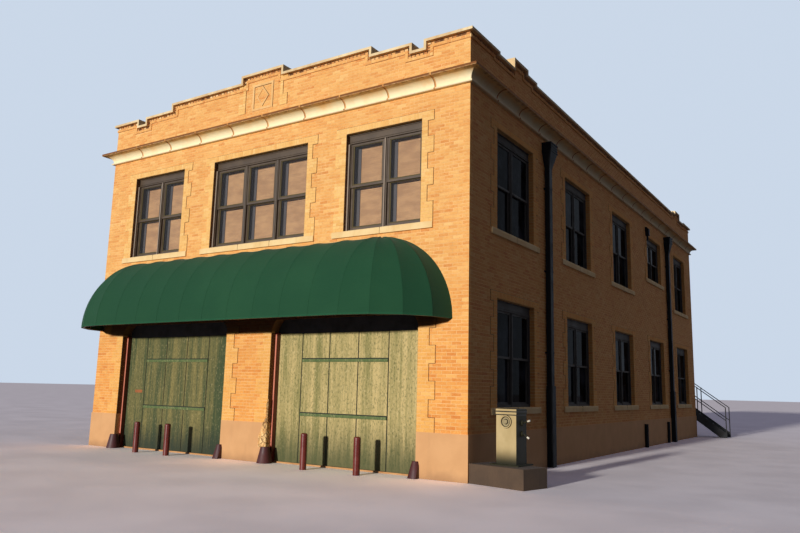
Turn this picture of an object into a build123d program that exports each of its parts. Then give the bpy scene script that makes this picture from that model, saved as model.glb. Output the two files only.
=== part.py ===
from build123d import *
import math
import os
from dataclasses import dataclass

# Two-storey brick fire station with two engine bays, in millimetres.
# The origin is on the ground under the middle of the walls: +X runs to the right along the front,
# +Y to the rear and +Z up. Each wall face has its own frame: u to the right, v up, w outwards.

os.makedirs("parts", exist_ok=True)

# Body of the building
WIDTH = 11500
DEPTH = 21000
WALL = 330
COURSE = 70
PLINTH_TOP = 875
PLINTH_PROUD = 20

# Heights, counted in brick courses above the plinth
LOWER_SILL_TOP = PLINTH_TOP + 7 * COURSE
LOWER_HEAD = PLINTH_TOP + 39 * COURSE
BAY_SPRING = PLINTH_TOP + 29 * COURSE
BAY_CORNER = 5 * COURSE
UPPER_SILL_TOP = PLINTH_TOP + 60 * COURSE
SHORT_SILL_TOP = PLINTH_TOP + 70 * COURSE
UPPER_HEAD = PLINTH_TOP + 92 * COURSE
CORNICE_FOOT = PLINTH_TOP + 100 * COURSE

# Floors and roof
GROUND_SLAB = 150
UPPER_FLOOR_TOP = 4250
FLOOR_SLAB = 250
ROOF_TOP = 8050
ROOF_SLAB = 220

# Front openings, about an axis a little left of the wall's middle
FRONT_AXIS = -40
OPENING_EDGE = 4667
BAY_INNER_EDGE = 720
PAIR_WIDTH = 1986
TRIPLE_WIDTH = 3110

# Side and rear windows
SIDE_PITCH = 4130
SIDE_COUNT = 5
SHORT_WINDOW = 3
REAR_WINDOW_X = 3670

# Window frames
SET_BACK = 110
FRAME_DEPTH = 190
FRAME_BAR = 55
MULLION = 90
HEAD_PANEL = 215
SASH_BAR = 48
SASH_DEPTH = 36
GLASS = 6
BLIND = 4
BLIND_SIDE = 8

# Brick surrounds and stone sills
SURROUND_PROUD = 12
SURROUND_WIDE = 290
SURROUND_NARROW = 145
SURROUND_FOOT_COURSES = 6
QUOIN_WIDE = 400
QUOIN_NARROW = 255
QUOIN_FOOT_COURSES = 4
TOOTH_COURSES = 5
HEAD_COURSES = 2
SILL_HEIGHT = 2 * COURSE
SILL_OVERHANG = 300
SILL_PROUD = 45
SILL_DEPTH = 150

# Cornice
CORNICE_HEIGHT = 320
CORNICE_PROUD = 277
CORNICE_FILLET = 85
CORNICE_BEAD = 45
CORNICE_NECK = 40
CORNICE_BEAD_PROUD = 80
CORNICE_WASH = 30

# Parapet, its coping and the band under it
PARAPET_WALL = 330
NOTCH_TOP = 8870
STEP_RISE = 190
FRONT_CREST_HALF = 705
FRONT_SHOULDER_HALF = 3336
FRONT_RAISED_HALF = 4410
FRONT_NOTCH_HALF = 4710
SIDE_CORNER_RUN = 1260
SIDE_NOTCH_RUN = 770
SIDE_NOTCH_DROP = 60
SIDE_BLOCK_RUN = 790
SIDE_LEDGE_RUN = 540
COPING = 60
COPING_PROUD = 85
BAND_DROP = COPING + COURSE
BAND_PROUD = 25

# Brick panel under the crest: toothed strips, a square ring and a diamond ring in it
PANEL_HALF = 580
PANEL_STRIP_NARROW = 90
PANEL_STRIP_WIDE = 235
PANEL_FOOT = PLINTH_TOP + 108 * COURSE
PANEL_TOP = PLINTH_TOP + 119 * COURSE
PANEL_RING_HALF = 345
PANEL_RING_FOOT = 8450
PANEL_RING = 58
DIAMOND_HALF_WIDTH = 205
DIAMOND_HALF_HEIGHT = 255
DIAMOND_BAR = 40
PANEL_PROUD = 14

# Engine bays
BOARD_BACK = 250
BOARD = 40
BATTEN = 18
BATTEN_HEIGHT = 55
BATTEN_LEVELS = (1085, 2275)
BOARD_SIDE_STRIP = 740
BOARD_STRIP = 782
JAMB = 60
JAMB_DEEP = 120
GUARD_RADIUS = 175
GUARD_TOP_RADIUS = 100
GUARD_HEIGHT = 350
GUARD_SIDE = 120
SMALL_GUARD_RADIUS = 155
SMALL_GUARD_TOP_RADIUS = 65
SMALL_GUARD_HEIGHT = 320
SMALL_GUARD_SIDE = 85
BOLLARD_RADIUS = 71
BOLLARD_HEIGHT = 740
BOLLARD_X = (-3245, -2110, 2155, 3525)
BOLLARD_FRONT = 440

# Awning
AWNING_AXIS = -110
AWNING_WIDTH = 11020
AWNING_REACH = 1420
AWNING_END = 1730
AWNING_FOOT = 3070
AWNING_RISE = 1770
AWNING_SKIN = 30
AWNING_GORES = 4
AWNING_BAYS = 10
AWNING_BAR = 30
AWNING_WALL_BAR = 260
FIT = 0.3

# Downspouts
SPOUT_FRONT_RUN = 4015
SPOUT_REAR_RUN = 4550
SPOUT_WIDTH = 170
SPOUT_DEPTH = 120
SPOUT_OFF = 30
BOOT_TOP = 1850
BOOT_EXTRA = 22
LEADER_WIDTH = 420
LEADER_DEPTH = 240
LEADER_HEIGHT = 230
LEADER_TAPER = 400
LEADER_TOP = 7760

# Vent pipe and standpipe against the right wall's plinth
VENT_REAR_RUN = 8450
VENT_RADIUS = 60
VENT_HEIGHT = 750
STAND_REAR_RUN = 5300
STAND_RADIUS = 50
STAND_HEIGHT = 750
HOUSING_FRONT_RUN = 13480
HOUSING_OUT = 125
HOUSING_WIDE = 150
HOUSING_FOOT = 7300
HOUSING_TOP = 7610
HOUSING_NECK = 30
HOUSING_NECK_FOOT = 7120

# Cabinet and its block
BLOCK_LENGTH = 1250
BLOCK_DEPTH = 700
BLOCK_HEIGHT = 360
BLOCK_TURN = -13.5
CABINET_OUT = 735
CABINET_IN = 340
CABINET_TURN = -6
CABINET_WIDTH = 420
CABINET_DEPTH = 380
CABINET_HEIGHT = 920
CABINET_LIP = 45
CABINET_GROOVE = 10
CABINET_FLANGE = 25
CABINET_FLANGE_OUT = 90
DIAL_RADIUS = 115
DIAL_BORE = 92
DIAL_KNOB = 38
DIAL_DEPTH = 28
DIAL_DROP = 134
LEVER_LEVELS = (-20, -215)
LEVER_TILTS = (70, 125)

# Rear stair
STAIR_FOOT_X = 6800
STAIR_GAP = 130
STAIR_WIDTH = 900
RISERS = 22
GOING = 258
TREAD = 40
STRINGER = 12
STRINGER_HEIGHT = 240
LANDING_LENGTH = 1300
LANDING = 60
RAIL_HEIGHT = 1080
RAIL_BAR = 40
POST_BAR = 60
POST_SUNK = 100
DOOR_WIDTH = 1000
DOOR_HEIGHT = 2100
DOOR_LEAF = 50
DOOR_FRAME = 60

# Worked-out places
HALF_W = WIDTH / 2
HALF_D = DEPTH / 2
CORNICE_TOP = CORNICE_FOOT + CORNICE_HEIGHT
CORNER_TOP = NOTCH_TOP + STEP_RISE
RISE = UPPER_FLOOR_TOP / RISERS
STAIR_TOP_X = STAIR_FOOT_X - (RISERS - 1) * GOING
DOOR_X = STAIR_TOP_X - LANDING_LENGTH / 2
INNER_D = HALF_D - WALL
BAY_HEAD = BAY_SPRING + BAY_CORNER

FRONT = Plane((0, -HALF_D, 0), x_dir=(1, 0, 0), z_dir=(0, -1, 0)).location
REAR = Plane((0, HALF_D, 0), x_dir=(-1, 0, 0), z_dir=(0, 1, 0)).location
RIGHT = Plane((HALF_W, 0, 0), x_dir=(0, 1, 0), z_dir=(1, 0, 0)).location
LEFT = Plane((-HALF_W, 0, 0), x_dir=(0, -1, 0), z_dir=(-1, 0, 0)).location


@dataclass(frozen=True)
class Window:
    """One window opening on a wall face."""

    middle: float
    sill: float
    head: float
    lights: int = 2

    @property
    def width(self):
        return TRIPLE_WIDTH if self.lights == 3 else PAIR_WIDTH

    @property
    def low(self):
        return self.middle - self.width / 2

    @property
    def high(self):
        return self.middle + self.width / 2


def slab(u0, u1, v0, v1, w0, w1):
    """Plain block between two corners of a face's frame."""
    return Pos((u0 + u1) / 2, (v0 + v1) / 2, (w0 + w1) / 2) * Box(u1 - u0, v1 - v0, w1 - w0)


def panel(u0, u1, v0, v1):
    """Flat rectangle between two corners of a face's frame."""
    return Pos((u0 + u1) / 2, (v0 + v1) / 2) * Rectangle(u1 - u0, v1 - v0)


def plate(outline, w0, w1):
    """Outline in a face's frame, thickened from w0 to w1."""
    return Pos(0, 0, w0) * extrude(outline, amount=w1 - w0)


def front_windows():
    """The three upper windows over the bays."""
    side = OPENING_EDGE - PAIR_WIDTH / 2
    return [
        Window(FRONT_AXIS - side, UPPER_SILL_TOP, UPPER_HEAD),
        Window(FRONT_AXIS, UPPER_SILL_TOP, UPPER_HEAD, 3),
        Window(FRONT_AXIS + side, UPPER_SILL_TOP, UPPER_HEAD),
    ]


def side_windows(sense):
    """Two rows of windows, where sense is the way that the rear lies on this face."""
    windows = []
    for number in range(SIDE_COUNT):
        middle = sense * SIDE_PITCH * (number - (SIDE_COUNT - 1) / 2)
        sill = SHORT_SILL_TOP if number == SHORT_WINDOW else UPPER_SILL_TOP
        windows.append(Window(middle, LOWER_SILL_TOP, LOWER_HEAD))
        windows.append(Window(middle, sill, UPPER_HEAD))
    return windows


def rear_windows():
    """Pairs of windows each side of the stair's door."""
    windows = []
    for middle in (-REAR_WINDOW_X, REAR_WINDOW_X):
        windows.append(Window(middle, LOWER_SILL_TOP, LOWER_HEAD))
        windows.append(Window(middle, UPPER_SILL_TOP, UPPER_HEAD))
    return windows


def window_hole(window):
    """Outline of the hole for a window, down to the underside of its sill."""
    return panel(window.low, window.high, window.sill, window.head)


def sill_slot(window):
    """Space that the stone sill takes out of the wall."""
    return slab(
        window.low - SILL_OVERHANG,
        window.high + SILL_OVERHANG,
        window.sill - SILL_HEIGHT,
        window.sill,
        -SILL_DEPTH,
        SILL_PROUD,
    )


def wall_plate(half, foot, top, windows, extra_holes=()):
    """Brick wall with its window openings and the seats of its sills."""
    outline = panel(-half, half, foot, top)
    for window in windows:
        outline -= window_hole(window)
    for hole in extra_holes:
        outline -= hole
    wall = plate(outline, -WALL, 0)
    for window in windows:
        wall -= sill_slot(window)
    return wall


def front_wall():
    """Front wall from the springing of the bay heads up to the parapet."""
    holes = [bay_hole(low, high) for low, high in bay_edges()]
    return [FRONT * wall_plate(HALF_W, BAY_SPRING, CORNICE_TOP, front_windows(), holes)]


def door_hole():
    """Outline of the upper rear door in the rear face's frame."""
    middle = -DOOR_X
    return panel(
        middle - DOOR_WIDTH / 2,
        middle + DOOR_WIDTH / 2,
        UPPER_FLOOR_TOP,
        UPPER_FLOOR_TOP + DOOR_HEIGHT,
    )


def bay_edges():
    """Left and right edge of each engine bay."""
    return [
        (FRONT_AXIS - OPENING_EDGE, FRONT_AXIS - BAY_INNER_EDGE),
        (FRONT_AXIS + BAY_INNER_EDGE, FRONT_AXIS + OPENING_EDGE),
    ]


def pier_edges():
    """Left and right edge of each front pier."""
    (left_low, left_high), (right_low, right_high) = bay_edges()
    return [(-HALF_W, left_low), (left_high, right_low), (right_high, HALF_W)]


def bay_hole(low, high):
    """Outline of an engine bay, with rounded corners at its head."""
    outline = panel(low, high, 0, BAY_HEAD)
    return fillet(outline.vertices().group_by(Axis.Y)[-1], BAY_CORNER)


def front_piers():
    """Brick piers beside and between the bays, up to where the bay heads start to round."""
    return [FRONT * slab(low, high, PLINTH_TOP, BAY_SPRING, -WALL, 0) for low, high in pier_edges()]


def front_plinth():
    """Concrete feet of the front piers."""
    pieces = []
    for low, high in pier_edges():
        left = low - PLINTH_PROUD if low == -HALF_W else low
        right = high + PLINTH_PROUD if high == HALF_W else high
        pieces.append(FRONT * slab(left, right, 0, PLINTH_TOP, -WALL, PLINTH_PROUD))
    return pieces


def rear_plinth():
    """Concrete foot of the rear wall."""
    half = HALF_W + PLINTH_PROUD
    return [REAR * slab(-half, half, 0, PLINTH_TOP, -WALL, PLINTH_PROUD)]


def side_plinths():
    """Concrete feet of the side walls."""
    return [side * slab(-INNER_D, INNER_D, 0, PLINTH_TOP, -WALL, PLINTH_PROUD) for side in (RIGHT, LEFT)]


def floor_slab(top, thickness):
    """Slab between the inner faces of the walls."""
    return [Pos(0, 0, top - thickness / 2) * Box(WIDTH - 2 * WALL, DEPTH - 2 * WALL, thickness)]


def front_steps():
    """Runs of the front parapet, as left end, right end and top."""
    crest = NOTCH_TOP + 3 * STEP_RISE
    shoulder = NOTCH_TOP + 2 * STEP_RISE
    runs = [(-HALF_W, FRONT_AXIS - FRONT_NOTCH_HALF, CORNER_TOP)]
    runs.append((FRONT_AXIS - FRONT_NOTCH_HALF, FRONT_AXIS - FRONT_RAISED_HALF, NOTCH_TOP))
    runs.append((FRONT_AXIS - FRONT_RAISED_HALF, FRONT_AXIS - FRONT_SHOULDER_HALF, CORNER_TOP))
    runs.append((FRONT_AXIS - FRONT_SHOULDER_HALF, FRONT_AXIS - FRONT_CREST_HALF, shoulder))
    runs.append((FRONT_AXIS - FRONT_CREST_HALF, FRONT_AXIS + FRONT_CREST_HALF, crest))
    runs.append((FRONT_AXIS + FRONT_CREST_HALF, FRONT_AXIS + FRONT_SHOULDER_HALF, shoulder))
    runs.append((FRONT_AXIS + FRONT_SHOULDER_HALF, FRONT_AXIS + FRONT_RAISED_HALF, CORNER_TOP))
    runs.append((FRONT_AXIS + FRONT_RAISED_HALF, FRONT_AXIS + FRONT_NOTCH_HALF, NOTCH_TOP))
    runs.append((FRONT_AXIS + FRONT_NOTCH_HALF, HALF_W, CORNER_TOP))
    return runs


def side_steps():
    """Runs of a side parapet, the same from both ends."""
    notch = HALF_D - SIDE_CORNER_RUN
    block = notch - SIDE_NOTCH_RUN
    ledge = block - SIDE_BLOCK_RUN
    middle = ledge - SIDE_LEDGE_RUN
    front_half = [
        (-HALF_D, -notch, CORNER_TOP),
        (-notch, -block, CORNER_TOP - SIDE_NOTCH_DROP),
        (-block, -ledge, CORNER_TOP + STEP_RISE),
        (-ledge, -middle, CORNER_TOP + COURSE),
    ]
    rear_half = [(-high, -low, top) for low, high, top in reversed(front_half)]
    return front_half + [(-middle, middle, CORNER_TOP)] + rear_half


def rear_steps():
    """The rear parapet is level."""
    return [(-HALF_W, HALF_W, CORNER_TOP)]


def stepped_face(runs, foot, drop, margin=0.0):
    """Outline under a stepped line that is lowered by drop and drawn in by margin at each step."""
    points = [(runs[0][0], foot)]
    for number, (low, high, top) in enumerate(runs):
        left = low
        right = high
        if number > 0:
            left += margin if top > runs[number - 1][2] else -margin
        if number < len(runs) - 1:
            right += -margin if top > runs[number + 1][2] else margin
        points.append((left, top - drop))
        points.append((right, top - drop))
    points.append((runs[-1][1], foot))
    return make_face(Polyline(*points, close=True))


def parapet(runs, half, foot):
    """Brick parapet under its coping."""
    outline = stepped_face(runs, foot, COPING, COPING)
    outline &= panel(-half, half, foot, CORNER_TOP + 4 * STEP_RISE)
    return plate(outline, -PARAPET_WALL, 0)


def mitred(solid, half):
    """Cuts both ends of a run along a face to 45 degrees, so that four runs meet at the corners."""
    right_cut = Plane((half, 0, 0), x_dir=(0, 1, 0), z_dir=(1, 0, -1))
    left_cut = Plane((-half, 0, 0), x_dir=(0, 1, 0), z_dir=(-1, 0, -1))
    solid = split(solid, bisect_by=right_cut, keep=Keep.BOTTOM)
    return split(solid, bisect_by=left_cut, keep=Keep.BOTTOM)


def stepped_ribbon(runs, half, drop, height, inner, outer):
    """Strip of stone or brick that follows the stepped line, also up and down its steps."""
    far = half + outer + 1
    wide = [(-far, runs[0][1], runs[0][2])] + runs[1:-1] + [(runs[-1][0], far, runs[-1][2])]
    if len(runs) == 1:
        wide = [(-far, far, runs[0][2])]
    upper = stepped_face(wide, CORNICE_TOP, drop, drop)
    lower = stepped_face(wide, CORNICE_TOP, drop + height, drop + height)
    return mitred(plate(upper - lower, inner, outer), half)


def coping(runs, half):
    """Thin coping stones over a parapet."""
    return stepped_ribbon(runs, half, 0, COPING, -PARAPET_WALL - COPING_PROUD, COPING_PROUD)


def parapet_band():
    """Proud brick course under the coping, one ring round the building."""
    band = None
    for face, runs, half in parapet_faces():
        piece = face * stepped_ribbon(runs, half, BAND_DROP, COURSE, 0, BAND_PROUD)
        band = piece if band is None else band + piece
    return [band]


def parapet_faces():
    """Each face with its parapet's runs and half length."""
    return [
        (FRONT, front_steps(), HALF_W),
        (RIGHT, side_steps(), HALF_D),
        (REAR, rear_steps(), HALF_W),
        (LEFT, side_steps(), HALF_D),
    ]


def cornice_profile():
    """Section of the cornice: x is outwards from the wall and y is up from its foot."""
    cove_foot = CORNICE_BEAD + 20
    cove_top = CORNICE_HEIGHT - CORNICE_FILLET
    cove_out = CORNICE_PROUD - 35
    with BuildSketch() as section:
        with BuildLine():
            Polyline((0, 0), (CORNICE_BEAD_PROUD - 20, 0))
            ThreePointArc(
                (CORNICE_BEAD_PROUD - 20, 0),
                (CORNICE_BEAD_PROUD, CORNICE_BEAD / 2),
                (CORNICE_BEAD_PROUD - 20, CORNICE_BEAD),
            )
            Polyline((CORNICE_BEAD_PROUD - 20, CORNICE_BEAD), (CORNICE_NECK, CORNICE_BEAD), (CORNICE_NECK, cove_foot))
            EllipticalCenterArc(
                (cove_out, cove_foot),
                cove_out - CORNICE_NECK,
                cove_top - cove_foot,
                90,
                arc_size=90,
            )
            Polyline(
                (cove_out, cove_top),
                (CORNICE_PROUD, cove_top),
                (CORNICE_PROUD, CORNICE_HEIGHT - CORNICE_WASH),
                (0, CORNICE_HEIGHT),
                (0, 0),
            )
        make_face()
    return section.sketch


def cornice(half):
    """Run of cornice along a face, mitred at both corners."""
    length = 2 * (half + CORNICE_PROUD)
    run = extrude(cornice_profile(), amount=length)
    along = Plane((length / 2, CORNICE_FOOT, 0), x_dir=(0, 0, 1), z_dir=(-1, 0, 0)).location
    return mitred(along * run, half)


def sill(window):
    """Stone sill with a sloping top in front of the window."""
    block = sill_slot(window)
    front_top = block.edges().filter_by(Axis.X).sort_by(lambda edge: edge.center().Y + edge.center().Z)[-1]
    return chamfer(front_top, 15, 30)


def toothed_edge(side, foot, top, sense, first, narrow, wide):
    """Stacked brick blocks beside a line: the first one is wide, then narrow and wide ones take turns."""
    outline = None
    level = foot
    end = foot + first
    is_wide = True
    while level < top:
        end = min(end, top)
        outer = side + sense * (wide if is_wide else narrow)
        strip = panel(min(side, outer), max(side, outer), level, end)
        outline = strip if outline is None else outline + strip
        level = end
        end = level + TOOTH_COURSES * COURSE
        is_wide = not is_wide
    return outline


def window_surround(window):
    """Brick trim round a window: toothed sides, and a head band between their topmost teeth."""
    head_top = window.head + HEAD_COURSES * COURSE
    outline = panel(window.low - SURROUND_NARROW, window.high + SURROUND_NARROW, window.head, head_top)
    first = SURROUND_FOOT_COURSES * COURSE
    for side, sense in ((window.low, -1), (window.high, 1)):
        outline += toothed_edge(side, window.sill, head_top, sense, first, SURROUND_NARROW, SURROUND_WIDE)
    return plate(outline, 0, SURROUND_PROUD)


def bay_quoins():
    """Toothed brick beside each engine bay, from the plinth to the awning."""
    first = QUOIN_FOOT_COURSES * COURSE - FIT
    pieces = []
    for low, high in bay_edges():
        for side, sense in ((low, -1), (high, 1)):
            foot = PLINTH_TOP + FIT
            edge = toothed_edge(side, foot, AWNING_FOOT - FIT, sense, first, QUOIN_NARROW, QUOIN_WIDE)
            pieces.append(FRONT * plate(edge, 0, SURROUND_PROUD))
    return pieces


def parapet_panel():
    """Brick ornament under the crest: toothed strips, a square ring and a diamond ring inside it."""
    outlines = []
    first = QUOIN_FOOT_COURSES * COURSE
    for sense in (-1, 1):
        side = FRONT_AXIS + sense * PANEL_HALF
        outlines.append(toothed_edge(side, PANEL_FOOT, PANEL_TOP, sense, first, PANEL_STRIP_NARROW, PANEL_STRIP_WIDE))
    middle = PANEL_RING_FOOT + PANEL_RING_HALF
    ring = Rectangle(2 * PANEL_RING_HALF, 2 * PANEL_RING_HALF)
    ring -= Rectangle(2 * PANEL_RING_HALF - 2 * PANEL_RING, 2 * PANEL_RING_HALF - 2 * PANEL_RING)
    outlines.append(Pos(FRONT_AXIS, middle) * ring)
    outlines.append(Pos(FRONT_AXIS, middle) * (diamond(0) - diamond(DIAMOND_BAR)))
    return [FRONT * plate(outline, 0, PANEL_PROUD) for outline in outlines]


def diamond(inset):
    """Diamond about the origin, drawn in by inset."""
    across = DIAMOND_HALF_WIDTH - inset * math.hypot(DIAMOND_HALF_WIDTH, DIAMOND_HALF_HEIGHT) / DIAMOND_HALF_HEIGHT
    up = across * DIAMOND_HALF_HEIGHT / DIAMOND_HALF_WIDTH
    return make_face(Polyline((-across, 0), (0, -up), (across, 0), (0, up), close=True))


def light_edges(window):
    """Left and right edge of each light between the frame's bars."""
    clear = window.width - 2 * FRAME_BAR - (window.lights - 1) * MULLION
    each = clear / window.lights
    first = window.low + FRAME_BAR
    return [(first + n * (each + MULLION), first + n * (each + MULLION) + each) for n in range(window.lights)]


def light_levels(window):
    """Foot, middle and top of the lights of a window."""
    foot = window.sill + FRAME_BAR
    top = window.head - HEAD_PANEL
    return foot, (foot + top) / 2, top


def window_frame(window):
    """Frame with head panel, mullions and both sashes of each light, as one joinery piece."""
    foot, middle, top = light_levels(window)
    outline = panel(window.low, window.high, window.sill, window.head)
    upper = None
    lower = None
    for low, high in light_edges(window):
        outline -= panel(low, high, foot, top)
        upper_ring = panel(low, high, middle - SASH_BAR / 2, top)
        upper_ring -= panel(low + SASH_BAR, high - SASH_BAR, middle + SASH_BAR / 2, top - SASH_BAR)
        lower_ring = panel(low, high, foot, middle + SASH_BAR / 2)
        lower_ring -= panel(low + SASH_BAR, high - SASH_BAR, foot + SASH_BAR, middle - SASH_BAR / 2)
        upper = upper_ring if upper is None else upper + upper_ring
        lower = lower_ring if lower is None else lower + lower_ring
    front = -SET_BACK
    frame = plate(outline, front - FRAME_DEPTH, front)
    frame += plate(upper, front - 15 - SASH_DEPTH, front - 15)
    frame += plate(lower, front - 15 - 2 * SASH_DEPTH, front - 15 - SASH_DEPTH)
    return frame


def window_glass(window):
    """Panes of the upper and lower sashes."""
    foot, middle, top = light_levels(window)
    upper_back = -SET_BACK - 15 - SASH_DEPTH / 2
    lower_back = upper_back - SASH_DEPTH
    panes = []
    for low, high in light_edges(window):
        left = low + SASH_BAR
        right = high - SASH_BAR
        panes.append(slab(left, right, middle + SASH_BAR / 2, top - SASH_BAR, upper_back - GLASS, upper_back))
        panes.append(slab(left, right, foot + SASH_BAR, middle - SASH_BAR / 2, lower_back - GLASS, lower_back))
    return panes


def window_blind(window):
    """Drawn roller blinds behind the lights, hung from the frame's head at its back."""
    foot, middle, top = light_levels(window)
    back = -SET_BACK - FRAME_DEPTH
    side = BLIND_SIDE
    return [slab(low + side, high - side, foot + 10, top, back, back + BLIND) for low, high in light_edges(window)]


def bay_boards():
    """Boarded closures at the back of the bay reveals, with their battens."""
    pieces = []
    for low, high in bay_edges():
        boards = plate(bay_hole(low, high), -BOARD_BACK - BOARD, -BOARD_BACK)
        rails = None
        for level in BATTEN_LEVELS:
            left = low + BOARD_SIDE_STRIP
            rail = panel(left, left + 3 * BOARD_STRIP, level, level + BATTEN_HEIGHT)
            rails = rail if rails is None else rails + rail
        boards += plate(rails, -BOARD_BACK, -BOARD_BACK + BATTEN)
        pieces.append(FRONT * boards)
    return pieces


def bay_jambs():
    """Steel jamb posts in the corners of the bay reveals."""
    pieces = []
    for low, high in bay_edges():
        for edge, sense in ((low, 1), (high, -1)):
            inner = edge + sense * JAMB
            post = slab(min(edge, inner), max(edge, inner), 0, BAY_SPRING, -BOARD_BACK, -BOARD_BACK + JAMB_DEEP)
            pieces.append(FRONT * post)
    return pieces


def wheel_guards():
    """Tapered guards at the feet of the bay jambs, each cut flat on the side away from its bay."""
    feet = front_plinth()
    posts = bay_jambs()
    pieces = []
    for low, high in bay_edges():
        whole = Pos(low, -HALF_D - PLINTH_PROUD, GUARD_HEIGHT / 2) * Cone(GUARD_RADIUS, GUARD_TOP_RADIUS, GUARD_HEIGHT)
        side = Pos(low - GUARD_SIDE - GUARD_RADIUS, -HALF_D, GUARD_HEIGHT / 2)
        whole -= side * Box(2 * GUARD_RADIUS, 4 * GUARD_RADIUS, 2 * GUARD_HEIGHT)
        place = Pos(high, -HALF_D - PLINTH_PROUD, SMALL_GUARD_HEIGHT / 2)
        small = place * Cone(SMALL_GUARD_RADIUS, SMALL_GUARD_TOP_RADIUS, SMALL_GUARD_HEIGHT)
        cut = Pos(high + SMALL_GUARD_SIDE + SMALL_GUARD_RADIUS, -HALF_D, SMALL_GUARD_HEIGHT / 2)
        small -= cut * Box(2 * SMALL_GUARD_RADIUS, 4 * SMALL_GUARD_RADIUS, 2 * SMALL_GUARD_HEIGHT)
        for guard in (whole, small):
            for neighbour in feet + posts:
                guard -= neighbour
            pieces.append(guard)
    return pieces


def bollards():
    """Steel bollards in front of the bays, with domed tops."""
    post = Pos(0, 0, BOLLARD_HEIGHT / 2) * Cylinder(BOLLARD_RADIUS, BOLLARD_HEIGHT)
    post = fillet(post.edges().group_by(Axis.Z)[-1], BOLLARD_RADIUS / 2)
    return [Pos(x, -HALF_D - BOLLARD_FRONT, 0) * post for x in BOLLARD_X]


def rim_corners(reach, end):
    """Corners of one domed end's rim, from straight ahead round to the wall."""
    turns = [90 * n / AWNING_GORES for n in range(AWNING_GORES + 1)]
    return [(end * math.sin(math.radians(t)), reach * math.cos(math.radians(t))) for t in turns]


def arch(reach, rise):
    """Quarter ellipse standing on the rim: x is outwards and y is up."""
    with BuildSketch() as section:
        with BuildLine():
            EllipticalCenterArc((0, 0), reach, rise, 0, arc_size=90)
            Polyline((0, rise), (0, 0), (reach, 0))
        make_face()
    return section.sketch


def gore(start, stop, rise):
    """Solid under one gore of a domed end, between two ribs that meet at the origin's upright."""
    middle = Vector((start[0] + stop[0]) / 2, (start[1] + stop[1]) / 2)
    chord = Vector(stop[0] - start[0], stop[1] - start[1])
    along = chord.normalized()
    outward = Vector(-along.Y, along.X)
    if outward.dot(middle) < 0:
        outward = -outward
    distance = outward.dot(middle)
    reach = chord.length + middle.length
    frame = Plane((0, 0, 0), x_dir=(outward.X, outward.Y, 0), z_dir=(outward.Y, -outward.X, 0))
    vault = extrude(frame.location * arch(distance, rise), amount=reach, both=True)
    wedge = extrude(make_face(Polyline((0, 0), start, stop, close=True)), amount=rise)
    return vault & wedge


def dome_form(reach, end, rise):
    """Right-hand domed end, in plan x along the wall and y outwards."""
    corners = rim_corners(reach, end)
    form = None
    for start, stop in zip(corners, corners[1:]):
        piece = gore(start, stop, rise)
        form = piece if form is None else form + piece
    return form


def awning_form(reach, end, rise, half):
    """Whole awning form: a barrel with a domed end each side, in plan x along and y outwards."""
    run = Plane((-half, 0, 0), x_dir=(0, 1, 0), z_dir=(1, 0, 0)).location
    barrel = extrude(run * arch(reach, rise), amount=2 * half)
    dome = dome_form(reach, end, rise)
    return barrel + Pos(half, 0, 0) * dome + Pos(-half, 0, 0) * mirror(dome, about=Plane.YZ)


def awning_place():
    """Place of the awning's plan frame on the front wall."""
    return Pos(AWNING_AXIS, -HALF_D, AWNING_FOOT) * Rot(0, 0, 0)


def outward_turned(form):
    """Turns a form that was drawn with y outwards so that it faces the front."""
    return mirror(form, about=Plane.XZ)


def awning_cover():
    """Fabric shell of the awning, open underneath and at the wall."""
    half = AWNING_WIDTH / 2 - AWNING_END
    outer = awning_form(AWNING_REACH, AWNING_END, AWNING_RISE, half)
    inner = awning_form(AWNING_REACH - AWNING_SKIN, AWNING_END - AWNING_SKIN, AWNING_RISE - AWNING_SKIN, half)
    return [awning_place() * outward_turned(outer - inner)]


def rib(start, rise):
    """Bar bent to the arch of one rib, in the upright plane from the origin to the rim corner."""
    length = math.hypot(*start)
    direction = Vector(start[0] / length, start[1] / length)
    outer = arch(length, rise)
    inner = arch(length - AWNING_BAR, rise - AWNING_BAR)
    frame = Plane((0, 0, 0), x_dir=(direction.X, direction.Y, 0), z_dir=(direction.Y, -direction.X, 0))
    return extrude(frame.location * (outer - inner), amount=AWNING_BAR / 2, both=True)


def awning_frame():
    """Steel ribs and rim bar under the fabric."""
    half = AWNING_WIDTH / 2 - AWNING_END
    gap = AWNING_SKIN + FIT
    reach = AWNING_REACH - gap
    end = AWNING_END - gap
    rise = AWNING_RISE - gap
    corners = rim_corners(reach, end)
    inner = rim_corners(reach - AWNING_BAR, end - AWNING_BAR)
    plan = [(-x - half, y) for x, y in reversed(corners)] + [(x + half, y) for x, y in corners]
    hole = [(-x - half, y) for x, y in reversed(inner)] + [(x + half, y) for x, y in inner]
    rim = make_face(Polyline(*plan, close=True)) - make_face(Polyline(*hole, close=True))
    frame = extrude(rim, amount=AWNING_BAR)
    wall_bar = Box(2 * (half + end), AWNING_BAR, AWNING_BAR)
    frame += Pos(0, AWNING_BAR / 2, AWNING_WALL_BAR + AWNING_BAR / 2) * wall_bar
    for corner in corners[1:]:
        bent = rib(corner, rise)
        frame += Pos(half, 0, 0) * bent
        frame += Pos(-half, 0, 0) * mirror(bent, about=Plane.YZ)
    straight = rib((0.0, reach), rise)
    for number in range(AWNING_BAYS + 1):
        frame += Pos(-half + 2 * half * number / AWNING_BAYS, 0, 0) * straight
    frame += Pos(0, AWNING_BAR / 2, rise - AWNING_BAR / 2) * Box(2 * half, AWNING_BAR, AWNING_BAR)
    return [awning_place() * outward_turned(frame & awning_form(reach, end, rise, half))]


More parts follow.
